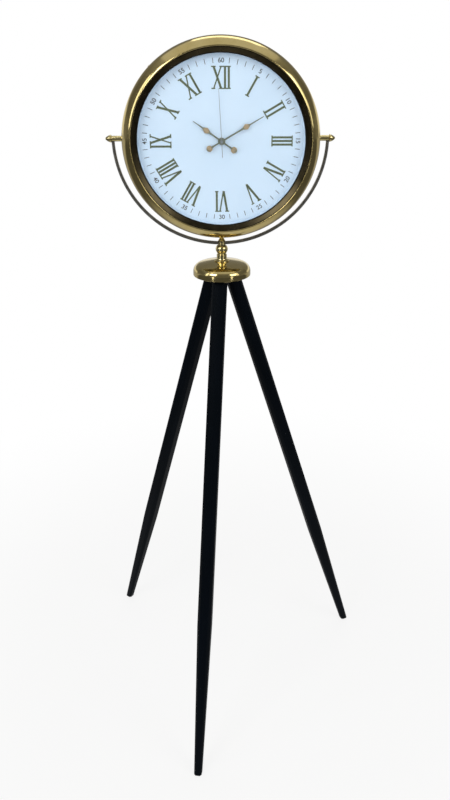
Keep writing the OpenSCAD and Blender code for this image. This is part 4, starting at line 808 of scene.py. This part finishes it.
def studio_paper():
    """White paper sweep. Its own glow, which only the camera and reflections see, makes it white
    further out and leaves the object's soft shadow near the feet. In reflections it glows round
    the feet and far behind the object, and its front end lies in the dark."""
    made, tree, shader, place = material("white_paper_sweep")
    cloud = add(tree, "ShaderNodeTexNoise", {"Vector": place, "Scale": 3.0, "Detail": 4.0})
    feed(tree, shader, {
        "Base Color": add(tree, "ShaderNodeValToRGB", {"Fac": cloud}, stops=tones("#F2F2F0", "#F5F5F3")),
        "Roughness": 0.9})
    away = add(tree, "ShaderNodeVectorMath", {0: place}, operation="LENGTH").outputs["Value"]
    back = add(tree, "ShaderNodeSeparateXYZ", {0: place}).outputs["Y"]
    camera_part, mirror_part, near, behind = (
        add(tree, "ShaderNodeMapRange", fade(*reach), interpolation_type="SMOOTHSTEP")
        for reach in ((away, 0.4, 1.6, 0.84, 1.0), (away, 0.5, 1.7, 0.8, 0.96), (away, 0.4, 1.7, 0.6, 0.08),
                      (back, 0.8, 2.2, 0.0, 0.45)))
    mirrored = add(tree, "ShaderNodeMath", {0: near, 1: behind}, operation="MAXIMUM")
    glow = add(tree, "ShaderNodeEmission",
               {"Color": (1, 1, 1, 1), "Strength": brightness_seen(tree, 0.0, 1.0, mirrored)})
    part = brightness_seen(tree, 0.0, camera_part, mirror_part)
    feed(tree, tree.nodes["Material Output"],
         {"Surface": add(tree, "ShaderNodeMixShader", {0: part, 1: shader, 2: glow})})
    return made


floor_mesh = bmesh.new()
bmesh.ops.create_grid(floor_mesh, x_segments=1, y_segments=1, size=14.0)
floor_data = bpy.data.meshes.new("studio_floor")
floor_mesh.to_mesh(floor_data)
floor_mesh.free()
floor_data.materials.append(studio_paper())
floor = bpy.data.objects.new("studio_floor", floor_data)
bpy.context.scene.collection.objects.link(floor)

# The room that metal reflects, from the front (0) to the back (1): unlit in front, and the sweep's
# white low down behind the object, under a grey ceiling.
AMBIENT = 0.31
ROOM = ((0.0, 0.12), (0.36, 0.14), (0.50, 0.19), (0.65, 0.24), (0.70, 0.12), (0.76, 0.9), (1.0, 1.0))
world = bpy.data.worlds.new("studio")
world.use_nodes = True
bpy.context.scene.world = world
sky = world.node_tree
towards = add(sky, "ShaderNodeSeparateXYZ", {0: add(sky, "ShaderNodeTexCoord").outputs["Generated"]}).outputs
depth_seen = add(sky, "ShaderNodeMapRange", fade(towards["Y"], -1, 1, 0, 1))
room = add(sky, "ShaderNodeValToRGB", {"Fac": depth_seen},
           stops=[(position, (level, level, level, 1)) for position, level in ROOM])
low, ceiling = (add(sky, "ShaderNodeMapRange", fade(towards["Z"], *reach), interpolation_type="SMOOTHSTEP")
                for reach in ((0.10, 0.24, 1.0, 0.22), (0.45, 0.9, 0.14, 0.32)))
low_sweep = add(sky, "ShaderNodeMath", {0: room, 1: low}, operation="MULTIPLY")
mirrored = add(sky, "ShaderNodeMath", {0: low_sweep, 1: ceiling}, operation="MAXIMUM")
feed(sky, sky.nodes["Background"],
     {"Color": (1, 1, 1, 1), "Strength": brightness_seen(sky, AMBIENT, 1.0, mirrored)})

# Lamps: place, what each is aimed at, width and height in metres, watts.
SOFTBOXES = {
    "key_box": ((-1.9, -2.2, 3.0), (0, 0, 0.9), (1.4, 1.4), 33),
    "fill_box": ((2.2, -2.0, 2.6), (0, 0, 0.9), (1.4, 1.4), 22),
    "top_box": ((0, 0.1, 3.9), (0, 0, 1.0), (4.2, 3.6), 15),
    "back_box": ((0.3, 1.8, 4.1), (0, 0, 1.0), (2.4, 1.2), 14),
    "left_strip": ((-2.1, -0.9, 2.15), (0, 0, 1.5), (0.4, 1.5), 4),
    "right_strip": ((2.1, -0.9, 2.15), (0, 0, 1.5), (0.4, 1.5), 2.5),
    "left_low_strip": ((-1.6, -2.05, 0.8), (0, 0, 1.0), (0.3, 0.9), 1.8),
    "right_low_strip": ((1.6, -2.05, 0.8), (0, 0, 1.0), (0.3, 0.9), 1.8),
}
for name, (place, target, size, power) in SOFTBOXES.items():
    lamp = bpy.data.lights.new(name, "AREA")
    lamp.shape, lamp.size, lamp.size_y, lamp.energy = "RECTANGLE", size[0], size[1], power
    box = bpy.data.objects.new(name, lamp)
    box.location = place
    box.rotation_euler = (Vector(target) - Vector(place)).to_track_quat("-Z", "Y").to_euler()
    bpy.context.scene.collection.objects.link(box)


# ---------------------------------------------------------------- camera
AZIMUTH, YAW, PITCH, ROLL_TURN = -1.335, -1.612, -20.837, -0.193
DISTANCE, CAMERA_Z = 1601.0, 1554.0
FOCAL_PX, CENTRE_X, CENTRE_Y = 761.67, 242.28, 324.34
WIDTH, HEIGHT = 450, 800
SENSOR = 36.0

lens = bpy.data.cameras.new("photo_camera")
lens.sensor_fit, lens.sensor_width = "AUTO", SENSOR
lens.lens = FOCAL_PX * SENSOR / HEIGHT
lens.shift_x = (WIDTH / 2 - CENTRE_X) / HEIGHT
lens.shift_y = (CENTRE_Y - HEIGHT / 2) / HEIGHT
lens.clip_start, lens.clip_end = 0.05, 60.0
camera = bpy.data.objects.new("photo_camera", lens)
aside, forth = DISTANCE * sin(radians(AZIMUTH)), DISTANCE * cos(radians(AZIMUTH))
spot = Vector((STAND_X + aside, STAND_Y - forth, CAMERA_Z)) * MM
aim = (Matrix.Rotation(radians(YAW + AZIMUTH), 3, "Z") @ Matrix.Rotation(radians(PITCH), 3, "X")
       @ Matrix.Rotation(radians(ROLL_TURN), 3, "Y"))
right, forward, up = aim.col[0], aim.col[1], aim.col[2]
camera.matrix_world = Matrix.Translation(spot) @ Matrix((right, up, -forward)).transposed().to_4x4()
bpy.context.scene.collection.objects.link(camera)
bpy.context.scene.camera = camera
bpy.context.scene.view_settings.view_transform = "Standard"
